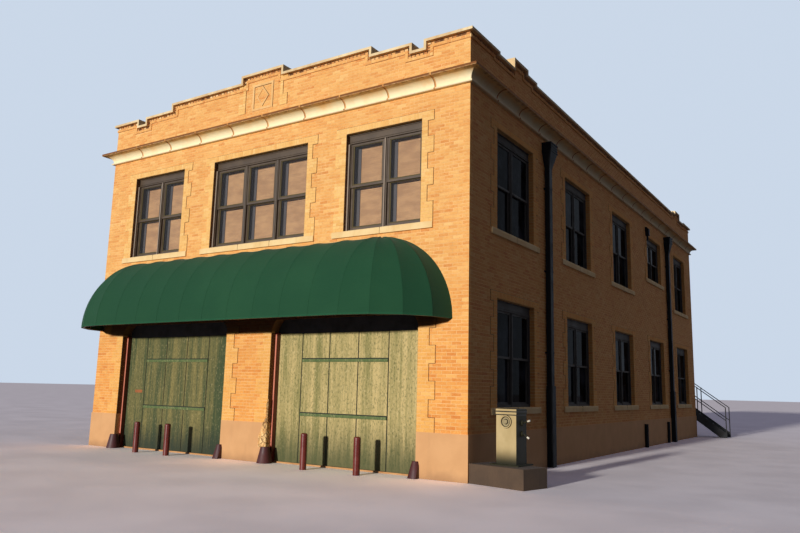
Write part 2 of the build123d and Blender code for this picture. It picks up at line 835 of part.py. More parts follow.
def downspouts():
    """Square downspouts with tapered leader heads and wider iron boots."""
    pieces = []
    for middle in (SPOUT_FRONT_RUN - HALF_D, HALF_D - SPOUT_REAR_RUN):
        back = SPOUT_OFF
        front = SPOUT_OFF + SPOUT_DEPTH
        neck = LEADER_TOP - LEADER_HEIGHT - LEADER_TAPER
        pipe = slab(middle - SPOUT_WIDTH / 2, middle + SPOUT_WIDTH / 2, BOOT_TOP, neck, back, front)
        half_boot = SPOUT_WIDTH / 2 + BOOT_EXTRA
        boot = slab(middle - half_boot, middle + half_boot, 0, BOOT_TOP, PLINTH_PROUD + FIT, front + BOOT_EXTRA)
        box = slab(
            middle - LEADER_WIDTH / 2,
            middle + LEADER_WIDTH / 2,
            LEADER_TOP - LEADER_HEIGHT,
            LEADER_TOP,
            0,
            LEADER_DEPTH,
        )
        wide = Plane((middle, neck + LEADER_TAPER, LEADER_DEPTH / 2), x_dir=(1, 0, 0), z_dir=(0, 1, 0)).location
        narrow = Plane((middle, neck, (back + front) / 2), x_dir=(1, 0, 0), z_dir=(0, 1, 0)).location
        hopper = loft([narrow * Rectangle(SPOUT_WIDTH, SPOUT_DEPTH), wide * Rectangle(LEADER_WIDTH, LEADER_DEPTH)])
        pieces.append(RIGHT * (pipe + boot + box + hopper))
    return pieces


def wall_fittings():
    """Vent pipe and standpipe near the rear end of the right wall, and a small housing higher up."""
    pieces = []
    for run, radius, height in (
        (VENT_REAR_RUN, VENT_RADIUS, VENT_HEIGHT),
        (STAND_REAR_RUN, STAND_RADIUS, STAND_HEIGHT),
    ):
        place = Pos(HALF_W + PLINTH_PROUD + FIT + radius, HALF_D - run, height / 2)
        pipe = place * Cylinder(radius, height)
        pieces.append(pipe)
    pieces.append(wall_housing())
    return pieces


def wall_housing():
    """Small hooded housing high on the right wall, with a short neck under it."""
    height = HOUSING_TOP - HOUSING_FOOT
    middle = HALF_W + SURROUND_PROUD + FIT + HOUSING_OUT / 2
    run = HOUSING_FRONT_RUN + HOUSING_WIDE / 2 - HALF_D
    hood = Pos(middle, run, HOUSING_FOOT + height / 2) * Box(HOUSING_OUT, HOUSING_WIDE, height)
    hood = chamfer(hood.edges().filter_by(Axis.Y).group_by(Axis.Z)[-1].sort_by(Axis.X)[-1], HOUSING_OUT * 0.6)
    neck_height = HOUSING_FOOT - HOUSING_NECK_FOOT
    neck = Pos(middle, run, HOUSING_NECK_FOOT + neck_height / 2) * Cylinder(HOUSING_NECK, neck_height)
    return hood + neck


def block_frame():
    """Place of the block's front left corner, against the building's corner."""
    return Pos(HALF_W + PLINTH_PROUD + FIT, -HALF_D + 20, 0) * Rot(0, 0, BLOCK_TURN)


def cabinet_block():
    """Concrete block at the front right corner."""
    block = Pos(BLOCK_LENGTH / 2, BLOCK_DEPTH / 2, BLOCK_HEIGHT / 2) * Box(BLOCK_LENGTH, BLOCK_DEPTH, BLOCK_HEIGHT)
    return [block_frame() * fillet(block.edges().group_by(Axis.Z)[-1], 12)]


def cabinet_dial():
    """Ring with a knob in its middle, on the front of the cabinet."""
    ring = Cylinder(DIAL_RADIUS, DIAL_DEPTH) - Cylinder(DIAL_BORE, 2 * DIAL_DEPTH)
    knob = Cylinder(DIAL_KNOB, DIAL_DEPTH)
    place = Pos(0, -CABINET_DEPTH / 2 - DIAL_DEPTH / 2 + 1, CABINET_HEIGHT - DIAL_DROP)
    return place * Rot(90, 0, 0) * (ring + knob)


def cabinet_levers():
    """Two bosses on the right side, each with a lever."""
    pieces = []
    for drop, tilt in zip(LEVER_LEVELS, LEVER_TILTS):
        level = CABINET_HEIGHT - DIAL_DROP + drop
        pieces.append(Pos(CABINET_WIDTH / 2 + 14, 40, level) * Rot(0, 90, 0) * Cylinder(52, 30))
        foot = Pos(CABINET_WIDTH / 2 + 20, 40, level) * Rot(0, tilt, 0)
        pieces.append(foot * Pos(0, 0, 70) * Cylinder(15, 140))
    return pieces


def cabinet():
    """Sheet metal cabinet with a base flange, a cap of two lips, a dial on the front and two levers on the side."""
    body = Pos(0, 0, CABINET_HEIGHT / 2) * Box(CABINET_WIDTH, CABINET_DEPTH, CABINET_HEIGHT)
    flange = Pos(0, 0, CABINET_FLANGE / 2) * Box(
        CABINET_WIDTH + 2 * CABINET_FLANGE_OUT,
        CABINET_DEPTH + 2 * CABINET_FLANGE_OUT,
        CABINET_FLANGE,
    )
    lip = Box(CABINET_WIDTH + 14, CABINET_DEPTH + 14, CABINET_LIP)
    neck = Box(CABINET_WIDTH - 14, CABINET_DEPTH - 14, CABINET_GROOVE + 2)
    low = Pos(0, 0, CABINET_HEIGHT + CABINET_LIP / 2) * lip
    groove = Pos(0, 0, CABINET_HEIGHT + CABINET_LIP + CABINET_GROOVE / 2) * neck
    high = Pos(0, 0, CABINET_HEIGHT + CABINET_LIP * 1.5 + CABINET_GROOVE) * lip
    high = chamfer(high.edges().group_by(Axis.Z)[-1], 12)
    body = body + flange + low + groove + high + cabinet_dial()
    for lever in cabinet_levers():
        body += lever
    place = Pos(HALF_W + CABINET_OUT, CABINET_IN - HALF_D, BLOCK_HEIGHT)
    return [place * Rot(0, 0, CABINET_TURN) * body]


def stair_y():
    """Wall side and outer side of the rear stair."""
    return HALF_D + STAIR_GAP, HALF_D + STAIR_GAP + STAIR_WIDTH


def stringer():
    """Sloping plate stringer in an upright plane along the rear wall, its face at y = 0."""
    slope = RISE / GOING
    drop = STRINGER_HEIGHT * math.hypot(1, slope)
    low_x = STAIR_FOOT_X - drop / slope + RISE / slope
    outline = Polyline(
        (STAIR_FOOT_X + GOING / 2, 0),
        (STAIR_FOOT_X + GOING / 2, RISE),
        (STAIR_TOP_X, UPPER_FLOOR_TOP),
        (STAIR_TOP_X, UPPER_FLOOR_TOP - drop),
        (low_x, 0),
        close=True,
    )
    return extrude(make_face(Plane.XZ * outline), amount=STRINGER / 2, both=True)


def stair_treads():
    """Grating treads between the stringers."""
    near, far = stair_y()
    pieces = []
    for number in range(1, RISERS):
        x = STAIR_FOOT_X - (number - 1) * GOING
        z = number * RISE
        length = far - near - 2 * STRINGER
        pieces.append(Pos(x - GOING / 2, (near + far) / 2, z - TREAD / 2) * Box(GOING - 8, length, TREAD))
    return pieces


def stair_landing():
    """Railed landing at the upper door, on four posts."""
    near, far = stair_y()
    left = STAIR_TOP_X - LANDING_LENGTH
    deck = Pos((left + STAIR_TOP_X) / 2, (HALF_D + far) / 2, UPPER_FLOOR_TOP - LANDING / 2)
    deck = deck * Box(LANDING_LENGTH, far - HALF_D, LANDING)
    height = UPPER_FLOOR_TOP - LANDING
    for x in (left + POST_BAR / 2, STAIR_TOP_X - POST_BAR / 2):
        for y in (near + POST_BAR / 2, far - POST_BAR / 2):
            deck += Pos(x, y, height / 2) * Box(POST_BAR, POST_BAR, height)
    return [deck + landing_rails()]


def stair_sides():
    """Stringers, each with its posts, handrail and middle rail."""
    near, far = stair_y()
    slope = RISE / GOING
    foot_x = STAIR_FOOT_X + GOING / 2 - RAIL_BAR / 2
    foot_z = RISE
    pieces = []
    for y in (near + STRINGER / 2, far - STRINGER / 2):
        side = stringer()
        for share in (0.5, 1.0):
            height = RAIL_HEIGHT * share
            line = Polyline(
                (foot_x, foot_z + height),
                (STAIR_TOP_X, UPPER_FLOOR_TOP + height),
                (STAIR_TOP_X, UPPER_FLOOR_TOP + height - RAIL_BAR),
                (foot_x, foot_z + height - RAIL_BAR),
                close=True,
            )
            side += extrude(make_face(Plane.XZ * line), amount=RAIL_BAR / 2, both=True)
        posts = 6
        for number in range(posts):
            x = foot_x + (STAIR_TOP_X + RAIL_BAR / 2 - foot_x) * number / (posts - 1)
            base = RISE + (STAIR_FOOT_X + GOING / 2 - x) * slope - POST_SUNK
            height = RAIL_HEIGHT - RAIL_BAR / 2 + POST_SUNK
            side += Pos(x, 0, base + height / 2) * Box(RAIL_BAR, STRINGER, height)
        pieces.append(Pos(0, y, 0) * side)
    return pieces


def landing_rails():
    """Rails on the outer side and the far end of the landing."""
    near, far = stair_y()
    left = STAIR_TOP_X - LANDING_LENGTH
    y = far - RAIL_BAR / 2
    base = UPPER_FLOOR_TOP
    rails = None
    for share in (0.5, 1.0):
        z = base + RAIL_HEIGHT * share - RAIL_BAR / 2
        long_bar = Pos((left + STAIR_TOP_X - RAIL_BAR) / 2, y, z) * Box(LANDING_LENGTH - RAIL_BAR, RAIL_BAR, RAIL_BAR)
        end_bar = Pos(left + RAIL_BAR / 2, (near + far) / 2, z) * Box(RAIL_BAR, STAIR_WIDTH, RAIL_BAR)
        rails = long_bar + end_bar if rails is None else rails + long_bar + end_bar
    for x, post_y in (
        (left + RAIL_BAR / 2, near + RAIL_BAR / 2),
        (left + RAIL_BAR / 2, y),
    ):
        rails += Pos(x, post_y, base + RAIL_HEIGHT / 2) * Box(RAIL_BAR, RAIL_BAR, RAIL_HEIGHT)
    return rails


def rear_door():
    """Frame and leaf of the upper rear door."""
    middle = -DOOR_X
    low = middle - DOOR_WIDTH / 2
    high = middle + DOOR_WIDTH / 2
    foot = UPPER_FLOOR_TOP
    top = foot + DOOR_HEIGHT
    ring = panel(low, high, foot, top) - panel(low + DOOR_FRAME, high - DOOR_FRAME, foot, top - DOOR_FRAME)
    door = plate(ring, -SET_BACK - FRAME_DEPTH, -SET_BACK)
    leaf = panel(low + DOOR_FRAME, high - DOOR_FRAME, foot, top - DOOR_FRAME)
    return [REAR * (door + plate(leaf, -SET_BACK - 30 - DOOR_LEAF, -SET_BACK - 30))]


FACES = [
    (FRONT, front_windows()),
    (RIGHT, side_windows(1)),
    (LEFT, side_windows(-1)),
    (REAR, rear_windows()),
]
FRONT_ONLY = FACES[:1]
OTHER_FACES = FACES[1:]


def on_faces(maker, faces):
    """Makes one piece for each window of the given faces."""
    pieces = []
    for face, windows in faces:
        for window in windows:
            made = maker(window)
            for piece in made if isinstance(made, list) else [made]:
                pieces.append(face * piece)
    return pieces


def save(name, solids):
    """Writes a node's solids to its own file."""
    whole = solids[0] if len(solids) == 1 else Compound(children=list(solids))
    export_step(whole, f"parts/{name}.step")


NODES = {
    "ground_floor": floor_slab(GROUND_SLAB, GROUND_SLAB),
    "upper_floor": floor_slab(UPPER_FLOOR_TOP, FLOOR_SLAB),
    "roof_deck": floor_slab(ROOF_TOP, ROOF_SLAB),
    "front_plinth": front_plinth(),
    "side_plinths": side_plinths(),
    "rear_plinth": rear_plinth(),
    "front_piers": front_piers(),
    "front_wall": front_wall(),
    "right_wall": [RIGHT * wall_plate(INNER_D, PLINTH_TOP, CORNICE_TOP, side_windows(1))],
    "left_wall": [LEFT * wall_plate(INNER_D, PLINTH_TOP, CORNICE_TOP, side_windows(-1))],
    "rear_wall": [REAR * wall_plate(HALF_W, PLINTH_TOP, CORNICE_TOP, rear_windows(), [door_hole()])],
    "front_parapet": [FRONT * parapet(front_steps(), HALF_W, CORNICE_TOP)],
    "side_parapets": [side * parapet(side_steps(), INNER_D, CORNICE_TOP) for side in (RIGHT, LEFT)],
    "rear_parapet": [REAR * parapet(rear_steps(), HALF_W, CORNICE_TOP)],
    "front_cornice": [FRONT * cornice(HALF_W)],
    "side_cornices": [side * cornice(HALF_D) for side in (RIGHT, LEFT)],
    "rear_cornice": [REAR * cornice(HALF_W)],
    "front_coping": [FRONT * coping(front_steps(), HALF_W)],
    "side_copings": [side * coping(side_steps(), HALF_D) for side in (RIGHT, LEFT)],
    "rear_coping": [REAR * coping(rear_steps(), HALF_W)],
    "parapet_band": parapet_band(),
    "window_sills": on_faces(sill, FACES),
    "window_surrounds": on_faces(window_surround, FACES),
    "bay_quoins": bay_quoins(),
    "parapet_panel": parapet_panel(),
    "front_window_frames": on_faces(window_frame, FRONT_ONLY),
    "other_window_frames": on_faces(window_frame, OTHER_FACES),
    "front_glass": on_faces(window_glass, FRONT_ONLY),
    "other_glass": on_faces(window_glass, OTHER_FACES),
    "front_blinds": on_faces(window_blind, FRONT_ONLY),
    "bay_boards": bay_boards(),
    "bay_jambs": bay_jambs(),
    "wheel_guards": wheel_guards(),
    "bollards": bollards(),
    "awning_cover": awning_cover(),
    "awning_frame": awning_frame(),
    "downspouts": downspouts(),
    "wall_fittings": wall_fittings(),
    "cabinet_block": cabinet_block(),
    "cabinet": cabinet(),
    "rear_door": rear_door(),
    "stair_sides": stair_sides(),
    "stair_treads": stair_treads(),
    "stair_landing": stair_landing(),
}

for node_name, node_solids in NODES.items():
    save(node_name, node_solids)
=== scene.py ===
import logging
import math
from dataclasses import dataclass, field
from enum import Enum
from typing import Callable, ClassVar, Iterable, Optional

import bpy
import numpy as np
from mathutils import Matrix, Vector


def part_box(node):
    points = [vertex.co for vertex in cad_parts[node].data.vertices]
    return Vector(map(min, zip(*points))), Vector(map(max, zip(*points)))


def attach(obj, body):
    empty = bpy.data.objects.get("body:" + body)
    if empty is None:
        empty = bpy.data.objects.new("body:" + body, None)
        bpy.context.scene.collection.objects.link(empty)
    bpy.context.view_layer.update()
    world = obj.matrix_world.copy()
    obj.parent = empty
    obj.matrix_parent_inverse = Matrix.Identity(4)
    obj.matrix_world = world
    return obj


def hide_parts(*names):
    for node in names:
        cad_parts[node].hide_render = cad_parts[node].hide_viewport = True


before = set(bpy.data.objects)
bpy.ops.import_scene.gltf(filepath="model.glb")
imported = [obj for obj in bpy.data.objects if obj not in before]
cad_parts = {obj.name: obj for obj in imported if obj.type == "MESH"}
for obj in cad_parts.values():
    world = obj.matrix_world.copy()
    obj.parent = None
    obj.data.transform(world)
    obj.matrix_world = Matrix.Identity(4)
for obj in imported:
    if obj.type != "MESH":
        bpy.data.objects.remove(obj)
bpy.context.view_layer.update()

LOG = logging.getLogger("fire_station")
Rgb = int
Span = tuple[float, float]
Run = tuple[float, float, float]
Block = tuple[float, float, float]
Box = tuple[float, float, float, float]
Limits = Callable[[float], list[Run]]
Piece = bpy.types.Object
Material = bpy.types.Material
Socket = bpy.types.NodeSocket


# Sizes of the building, in metres, as in the part's source


class Size:
    """Driving sizes that the brickwork, cloth and boards share."""

    WIDTH = 11.5
    DEPTH = 21.0
    WALL = 0.33
    COURSE = 0.07
    BRICK_PITCH = 0.2155
    JOINT = 0.011
    LEAST_CUT = 0.05
    LEAST_BRICK = 0.02
    LEAST_COURSE = 0.015
    BRICK_PROUD = 0.004
    PLINTH_TOP = 0.875
    CORNICE_TOP = 8.195
    CORNICE_FOOT = 7.875
    COPING = 0.06
    BAND_DROP = 0.13
    SILL_HEIGHT = 0.14
    SILL_OVERHANG = 0.30
    SURROUND_PROUD = 0.012
    SURROUND_WIDE = 0.29
    SURROUND_NARROW = 0.145
    QUOIN_WIDE = 0.40
    QUOIN_NARROW = 0.255
    TOOTH = 0.35
    FRAME_BACK = 0.11
    FRAME_BAR = 0.055
    MULLION = 0.09
    HEAD_PANEL = 0.215
    BAY_SPRING = 2.905
    BAY_CORNER = 0.35
    BOARD_BACK = 0.25
    FRONT_AXIS = -0.04
    AWNING_AXIS = -0.11
    OPENING_EDGE = 4.667
    BAY_INNER = 0.72
    PAIR = 1.986
    TRIPLE = 3.11
    LOWER_SILL = 1.365
    LOWER_HEAD = 3.605
    UPPER_SILL = 5.075
    SHORT_SILL = 5.775
    UPPER_HEAD = 7.315
    SIDE_PITCH = 4.13
    REAR_WINDOW = 3.67
    ROOF_TOP = 8.05
    GROOVE = 0.011
    BAND_PROUD = 0.025
    PANEL_HALF = 0.58
    PANEL_FOOT = 8.435
    PANEL_TOP = 9.205
    PANEL_NARROW = 0.09
    PANEL_WIDE = 0.235
    QUOIN_TOP = 3.0697


def linear(code: int) -> tuple[float, float, float]:
    """Linear colour of a screen colour written as 0xRRGGBB."""
    shades = (code >> 16, code >> 8 & 255, code & 255)
    return tuple(((c / 255 + 0.055) / 1.055) ** 2.4 if c > 10 else c / 255 / 12.92 for c in shades)


@dataclass(frozen=True)
class WallFace:
    """Upright plane that pieces are laid on: u runs along it, v up and w outwards."""

    origin: Vector
    along: Vector
    out: Vector

    def points(self, uvw: np.ndarray) -> np.ndarray:
        """Turns rows of u, v, w into rows of x, y, z."""
        axes = np.array([self.along, (0, 0, 1), self.out], dtype=float)
        return uvw @ axes + np.array(self.origin, dtype=float)

    def point(self, u: float, v: float, w: float) -> Vector:
        """Place of one point of the face's frame."""
        return Vector(self.points(np.array([[u, v, w]]))[0])

    def jambs(self, low: float, high: float) -> list["WallFace"]:
        """Both sides of a gap, as faces that look into it and whose own u runs outwards."""
        edges = ((low, 1), (high, -1))
        return [WallFace(self.point(edge, 0, 0), self.out, self.along * way) for edge, way in edges]

    def matrix(self) -> Matrix:
        """Matrix that takes u, v, w to the world."""
        turn = Matrix((self.along, Vector((0, 0, 1)), self.out)).transposed().to_4x4()
        return Matrix.Translation(self.origin) @ turn


FRONT = WallFace(Vector((0, -Size.DEPTH / 2, 0)), Vector((1, 0, 0)), Vector((0, -1, 0)))
REAR = WallFace(Vector((0, Size.DEPTH / 2, 0)), Vector((-1, 0, 0)), Vector((0, 1, 0)))
RIGHT = WallFace(Vector((Size.WIDTH / 2, 0, 0)), Vector((0, 1, 0)), Vector((1, 0, 0)))
LEFT = WallFace(Vector((-Size.WIDTH / 2, 0, 0)), Vector((0, -1, 0)), Vector((-1, 0, 0)))


@dataclass(frozen=True)
class Opening:
    """Window opening in a face's frame."""

    middle: float
    sill: float
    head: float
    lights: int = 2

    @property
    def half(self) -> float:
        """Half of the clear width."""
        return (Size.TRIPLE if self.lights == 3 else Size.PAIR) / 2

    @property
    def low(self) -> float:
        """Left edge."""
        return self.middle - self.half

    @property
    def high(self) -> float:
        """Right edge."""
        return self.middle + self.half

    @property
    def each(self) -> float:
        """Clear width of one light."""
        return (2 * self.half - 2 * Size.FRAME_BAR - (self.lights - 1) * Size.MULLION) / self.lights

    def light(self, number: int) -> float:
        """Left edge of a light."""
        return self.low + Size.FRAME_BAR + number * (self.each + Size.MULLION)


def front_openings() -> list[Opening]:
    """The three windows over the engine bays.

    Returns:
        The windows from left to right.
    """
    side = Size.OPENING_EDGE - Size.PAIR / 2
    return [
        Opening(Size.FRONT_AXIS - side, Size.UPPER_SILL, Size.UPPER_HEAD),
        Opening(Size.FRONT_AXIS, Size.UPPER_SILL, Size.UPPER_HEAD, 3),
        Opening(Size.FRONT_AXIS + side, Size.UPPER_SILL, Size.UPPER_HEAD),
    ]


def side_openings(sense: int) -> list[Opening]:
    """Both rows of windows of a side wall.

    Args:
        sense: Way along the wall that leads to the rear.

    Returns:
        The windows.
    """
    openings = []
    for number in range(5):
        middle = sense * Size.SIDE_PITCH * (number - 2)
        openings.append(Opening(middle, Size.LOWER_SILL, Size.LOWER_HEAD))
        sill = Size.SHORT_SILL if number == 3 else Size.UPPER_SILL
        openings.append(Opening(middle, sill, Size.UPPER_HEAD))
    return openings


def rear_openings() -> list[Opening]:
    """Windows each side of the rear stair's door.

    Returns:
        The windows.
    """
    return [
        Opening(middle, sill, head)
        for middle in (-Size.REAR_WINDOW, Size.REAR_WINDOW)
        for sill, head in ((Size.LOWER_SILL, Size.LOWER_HEAD), (Size.UPPER_SILL, Size.UPPER_HEAD))
    ]


def bay_edges() -> list[Span]:
    """Left and right edge of each engine bay."""
    axis, near, far = Size.FRONT_AXIS, Size.BAY_INNER, Size.OPENING_EDGE
    return [(axis - far, axis - near), (axis + near, axis + far)]


def outward(low: float, high: float) -> tuple[tuple[float, int], tuple[float, int]]:
    """Both edges of a gap, each with the way that leads out of it."""
    return (low, -1), (high, 1)


def between(side: float, sense: int, near: float, far: float) -> Span:
    """Stretch from one distance off an edge to another, left end first."""
    return tuple(sorted((side + sense * near, side + sense * far)))


def equal(low: float, step: float, count: int, gap: float) -> list[Span]:
    """Equal stretches side by side, each drawn in by a gap at both ends."""
    return [(low + n * step + gap, low + (n + 1) * step - gap) for n in range(count)]


PANEL_EDGES = (Size.FRONT_AXIS - Size.PANEL_HALF, Size.FRONT_AXIS + Size.PANEL_HALF)
OTHER_WALLS = ((RIGHT, side_openings(1)), (LEFT, side_openings(-1)), (REAR, rear_openings()))
ALL_WALLS = ((FRONT, front_openings()), *OTHER_WALLS)


# Finishes


class Nodes:
    """Small helper that lays the shader nodes of a material or of the world."""

    # Where the front wall gets painted shade under the awning, and how dark.
    SHADE_DEPTH = -10.1
    SHADE_FOOT = (2.88, 2.96)
    SHADE_TOP = (3.40, 3.60)
    SHADE_SIDE = (5.05, 5.30)
    SHADE_SHARE = 0.92

    def __init__(self, name: str, owner: Optional[bpy.types.ID] = None) -> None:
        """Starts with no nodes.

        Args:
            name: Name of the material.
            owner: What holds the nodes, or None for a new material.
        """
        self.owner = owner or bpy.data.materials.new(name)
        self.owner.use_nodes = True
        self.tree = self.owner.node_tree
        self.tree.nodes.clear()
        self.column = 0

    def add(self, kind: str, *inputs: object, **values: object) -> bpy.types.Node:
        """Adds a node and sets its properties and sockets.

        Args:
            kind: Node type without the leading ShaderNode.
            inputs: Values of its first sockets.
            values: Properties by name, or sockets by name with spaces written as underscores.

        Returns:
            The new node.
        """
        node = self.tree.nodes.new("ShaderNode" + kind)
        node.location = (self.column * 180, 0)
        self.column += 1
        for key, value in values.items():
            if hasattr(node, key):
                setattr(node, key, value)
            else:
                self.put(node.inputs[key.replace("_", " ")], value)
        for socket, value in zip(node.inputs, inputs):
            self.put(socket, value)
        return node

    def put(self, socket: Socket, value: object) -> None:
        """Links an output to a socket, or sets the socket's own value.

        Args:
            socket: The socket.
            value: An output, a colour or a number.
        """
        if isinstance(value, Socket):
            self.tree.links.new(value, socket)
        elif socket.type == "RGBA":
            socket.default_value = (*(linear(value) if isinstance(value, int) else value), 1.0)
        else:
            socket.default_value = value

    def place(self, scale: tuple[float, float, float] = (1, 1, 1)) -> Socket:
        """Object coordinates, stretched by scale."""
        mapping = self.add("Mapping", self.add("TexCoord").outputs["Object"], Scale=scale)
        return mapping.outputs["Vector"]

    def noise(self, where: Socket, scale: float, detail: float = 3.0, rough: float = 0.55) -> Socket:
        """Noise between 0 and 1."""
        return self.add("TexNoise", Vector=where, Scale=scale, Detail=detail, Roughness=rough).outputs["Fac"]

    def math(self, kind: str, one: object, two: object = 0.0, clamp: bool = False) -> Socket:
        """One arithmetic step on numbers or sockets."""
        return self.add("Math", one, two, operation=kind, use_clamp=clamp).outputs[0]

    def times(self, one: object, two: object) -> Socket:
        """One value times another."""
        return self.math("MULTIPLY", one, two)

    def band(self, value: Socket, low: float, high: float) -> Socket:
        """Runs from 0 at low to 1 at high, smoothly."""
        node = self.add("MapRange", interpolation_type="SMOOTHSTEP", Value=value, From_Min=low, From_Max=high)
        return node.outputs["Result"]

    def fade(self, value: Socket, low: float, high: float) -> Socket:
        """Runs from 1 at low to 0 at high, smoothly."""
        return self.math("SUBTRACT", 1.0, self.band(value, low, high))

    def shifted(self, value: Socket, by: Socket, share: float) -> Socket:
        """Moves a value up and down by a share of a noise."""
        return self.math("ADD", value, self.times(self.math("SUBTRACT", by, 0.5), share))

    def mix(self, amount: object, one: object, two: object, kind: str = "MIX") -> Socket:
        """Mixes two colours.

        Args:
            amount: Share of the second colour.
            one: First colour.
            two: Second colour.
            kind: How they are blended.

        Returns:
            The mixed colour.
        """
        node = self.add("Mix", data_type="RGBA", blend_type=kind)
        self.put(node.inputs[0], amount)
        self.put(node.inputs[6], one)
        self.put(node.inputs[7], two)
        return node.outputs[2]

    def wash(self, colour: object, over: object, where: Socket, share: float) -> Socket:
        """Lays a share of another colour over the first, as far as where says."""
        return self.mix(self.times(where, share), colour, over)

    def tint(self, colour: object, tone: object) -> Socket:
        """Multiplies a colour by a tone."""
        return self.mix(1.0, colour, tone, "MULTIPLY")

    def painted_awning_shade(self, colour: object) -> Socket:
        """Darkens a colour on the front wall under the awning: painted shade of the awning.

        Args:
            colour: The colour.

        Returns:
            The darkened colour.
        """
        height = self.axis("Z")
        level = self.times(self.band(height, *self.SHADE_FOOT), self.fade(height, *self.SHADE_TOP))
        aside = self.math("ABSOLUTE", self.math("SUBTRACT", self.axis("X"), Size.AWNING_AXIS))
        front = self.math("LESS_THAN", self.axis("Y"), self.SHADE_DEPTH)
        near = self.times(front, self.fade(aside, *self.SHADE_SIDE))
        where = self.times(level, near)
        return self.wash(colour, self.tint(colour, 0x746058), where, self.SHADE_SHARE)

    def ramp(self, value: Socket, stops: Iterable[tuple[float, Rgb]]) -> Socket:
        """Colour ramp.

        Args:
            value: Place on the ramp.
            stops: Place and colour of each stop.

        Returns:
            The colour.
        """
        node = self.add("ValToRGB", value)
        elements = node.color_ramp.elements
        for number, (place, colour) in enumerate(stops):
            element = elements[number] if number < 2 else elements.new(place)
            element.position = place
            element.color = (*linear(colour), 1.0)
        return node.outputs["Color"]

    def axis(self, letter: str) -> Socket:
        """One Object coordinate: X, Y or Z."""
        return self.add("SeparateXYZ", self.add("TexCoord").outputs["Object"]).outputs[letter]

    def finish(self, colour: object, roughness: object, bump: Optional[Socket] = None,
               depth: float = 0.002, metallic: float = 0.0, **sockets: object) -> Material:
        """Closes the material with one Principled shader.

        Args:
            colour: Base colour or the socket that gives it.
            roughness: Roughness or the socket that gives it.
            bump: Height for the bump, or None.
            depth: Depth of the bump in metres.
            metallic: Metallic value.
            sockets: Other sockets of the shader by name.

        Returns:
            The material.
        """
        sockets.update(Base_Color=colour, Roughness=roughness, Metallic=metallic)
        shader = self.add("BsdfPrincipled", **sockets)
        if bump is not None:
            node = self.add("Bump", Height=bump, Distance=depth, Strength=1.0)
            self.put(shader.inputs["Normal"], node.outputs["Normal"])
        self.add("OutputMaterial", shader.outputs["BSDF"])
        return self.owner

    def seen_or_lit(self, lit: bpy.types.Node, seen: bpy.types.Node, output: str) -> None:
        """Ends in one shader for the light that falls on things and another for what is looked at.

        Args:
            lit: Shader that the light on things comes from.
            seen: Shader for rays straight to it, in a mirror or through glass.
            output: Kind of the output node.
        """
        path = self.add("LightPath")
        share = path.outputs["Is Camera Ray"]
        for ray in ("Is Glossy Ray", "Is Transmission Ray"):
            share = self.math("ADD", share, path.outputs[ray], clamp=True)
        both = self.add("MixShader", share, lit.outputs[0], seen.outputs[0])
        self.add(output, both.outputs[0])


@dataclass(frozen=True)
class BrickFinish:
    """Face brick whose tone changes from brick to brick, read from the tone attribute."""

    name: str
    tones: tuple[Rgb, ...]

    FRONT_SKIN: ClassVar[float] = -10.4
    WARM_BELOW: ClassVar[Span] = (2.0, 4.8)

    def build(self) -> Material:
        """Makes the material.

        Returns:
            The material.
        """
        n = Nodes(self.name)
        tone = n.add("Attribute", attribute_name="tone").outputs["Fac"]
        last = len(self.tones) - 1
        colour = n.ramp(tone, [(number / last, rgb) for number, rgb in enumerate(self.tones)])
        where = n.place()
        patch = n.noise(n.place((1.0, 1.0, 1.6)), 17.0, 4.0, 0.65)
        colour = n.wash(colour, n.tint(colour, 0xF4CE9E), n.band(patch, 0.54, 0.66), 0.55)
        colour = n.wash(colour, 0xFFD68E, n.band(patch, 0.46, 0.34), 0.35)
        colour = n.wash(colour, 0x965C2C, n.band(n.noise(where, 90.0, 4.0), 0.45, 0.8), 0.16)
        colour = n.wash(colour, 0xB07C48, n.band(n.noise(where, 0.9, 4.0), 0.45, 0.8), 0.16)
        # Brick off the front wall is tinted darker and redder than the front: painted shade on the walls out
        # of the sun.
        front = n.math("LESS_THAN", n.axis("Y"), self.FRONT_SKIN)
        colour = n.mix(front, n.tint(colour, 0xF0E6E6), colour)
        low = n.times(n.fade(n.axis("Z"), *self.WARM_BELOW), front)
        colour = n.wash(colour, n.tint(colour, 0xFFE2B2), low, 0.65)
        # Painted shade under the awning is laid on last.
        return n.finish(n.painted_awning_shade(colour), 0.86, n.noise(where, 160.0, 3.0), 0.0012)


@dataclass(frozen=True)
class StoneFinish:
    """Stone, mortar or concrete with clouds, grain and stains that hang down."""

    name: str
    light: Rgb
    dark: Rgb
    stain: Rgb
    stain_share: float = 0.4
    grain: float = 60.0
    depth: float = 0.0015
    foot: float = 0.0

    def build(self) -> Material:
        """Makes the material.

        Returns:
            The material.
        """
        n = Nodes(self.name)
        where = n.place()
        colour = n.mix(n.band(n.noise(where, 2.2, 5.0), 0.3, 0.72), self.dark, self.light)
        colour = n.wash(colour, self.dark, n.band(n.noise(where, self.grain, 4.0), 0.42, 0.8), 0.35)
        streak = n.noise(n.place((3.0, 3.0, 0.35)), 2.4, 5.0)
        colour = n.wash(colour, self.stain, n.band(streak, 0.5, 0.8), self.stain_share)
        # Darker towards the foot: painted shadow.
        if self.foot > 0:
            edge = n.math("ADD", n.axis("Z"), n.times(n.noise(where, 3.0, 5.0), 0.25))
            colour = n.wash(colour, self.stain, n.fade(edge, self.foot * 0.35, self.foot + 0.12), 0.55)
        # Painted shade under the awning is laid on last.
        return n.finish(n.painted_awning_shade(colour), 0.88, n.noise(where, self.grain * 2, 4.0), self.depth)


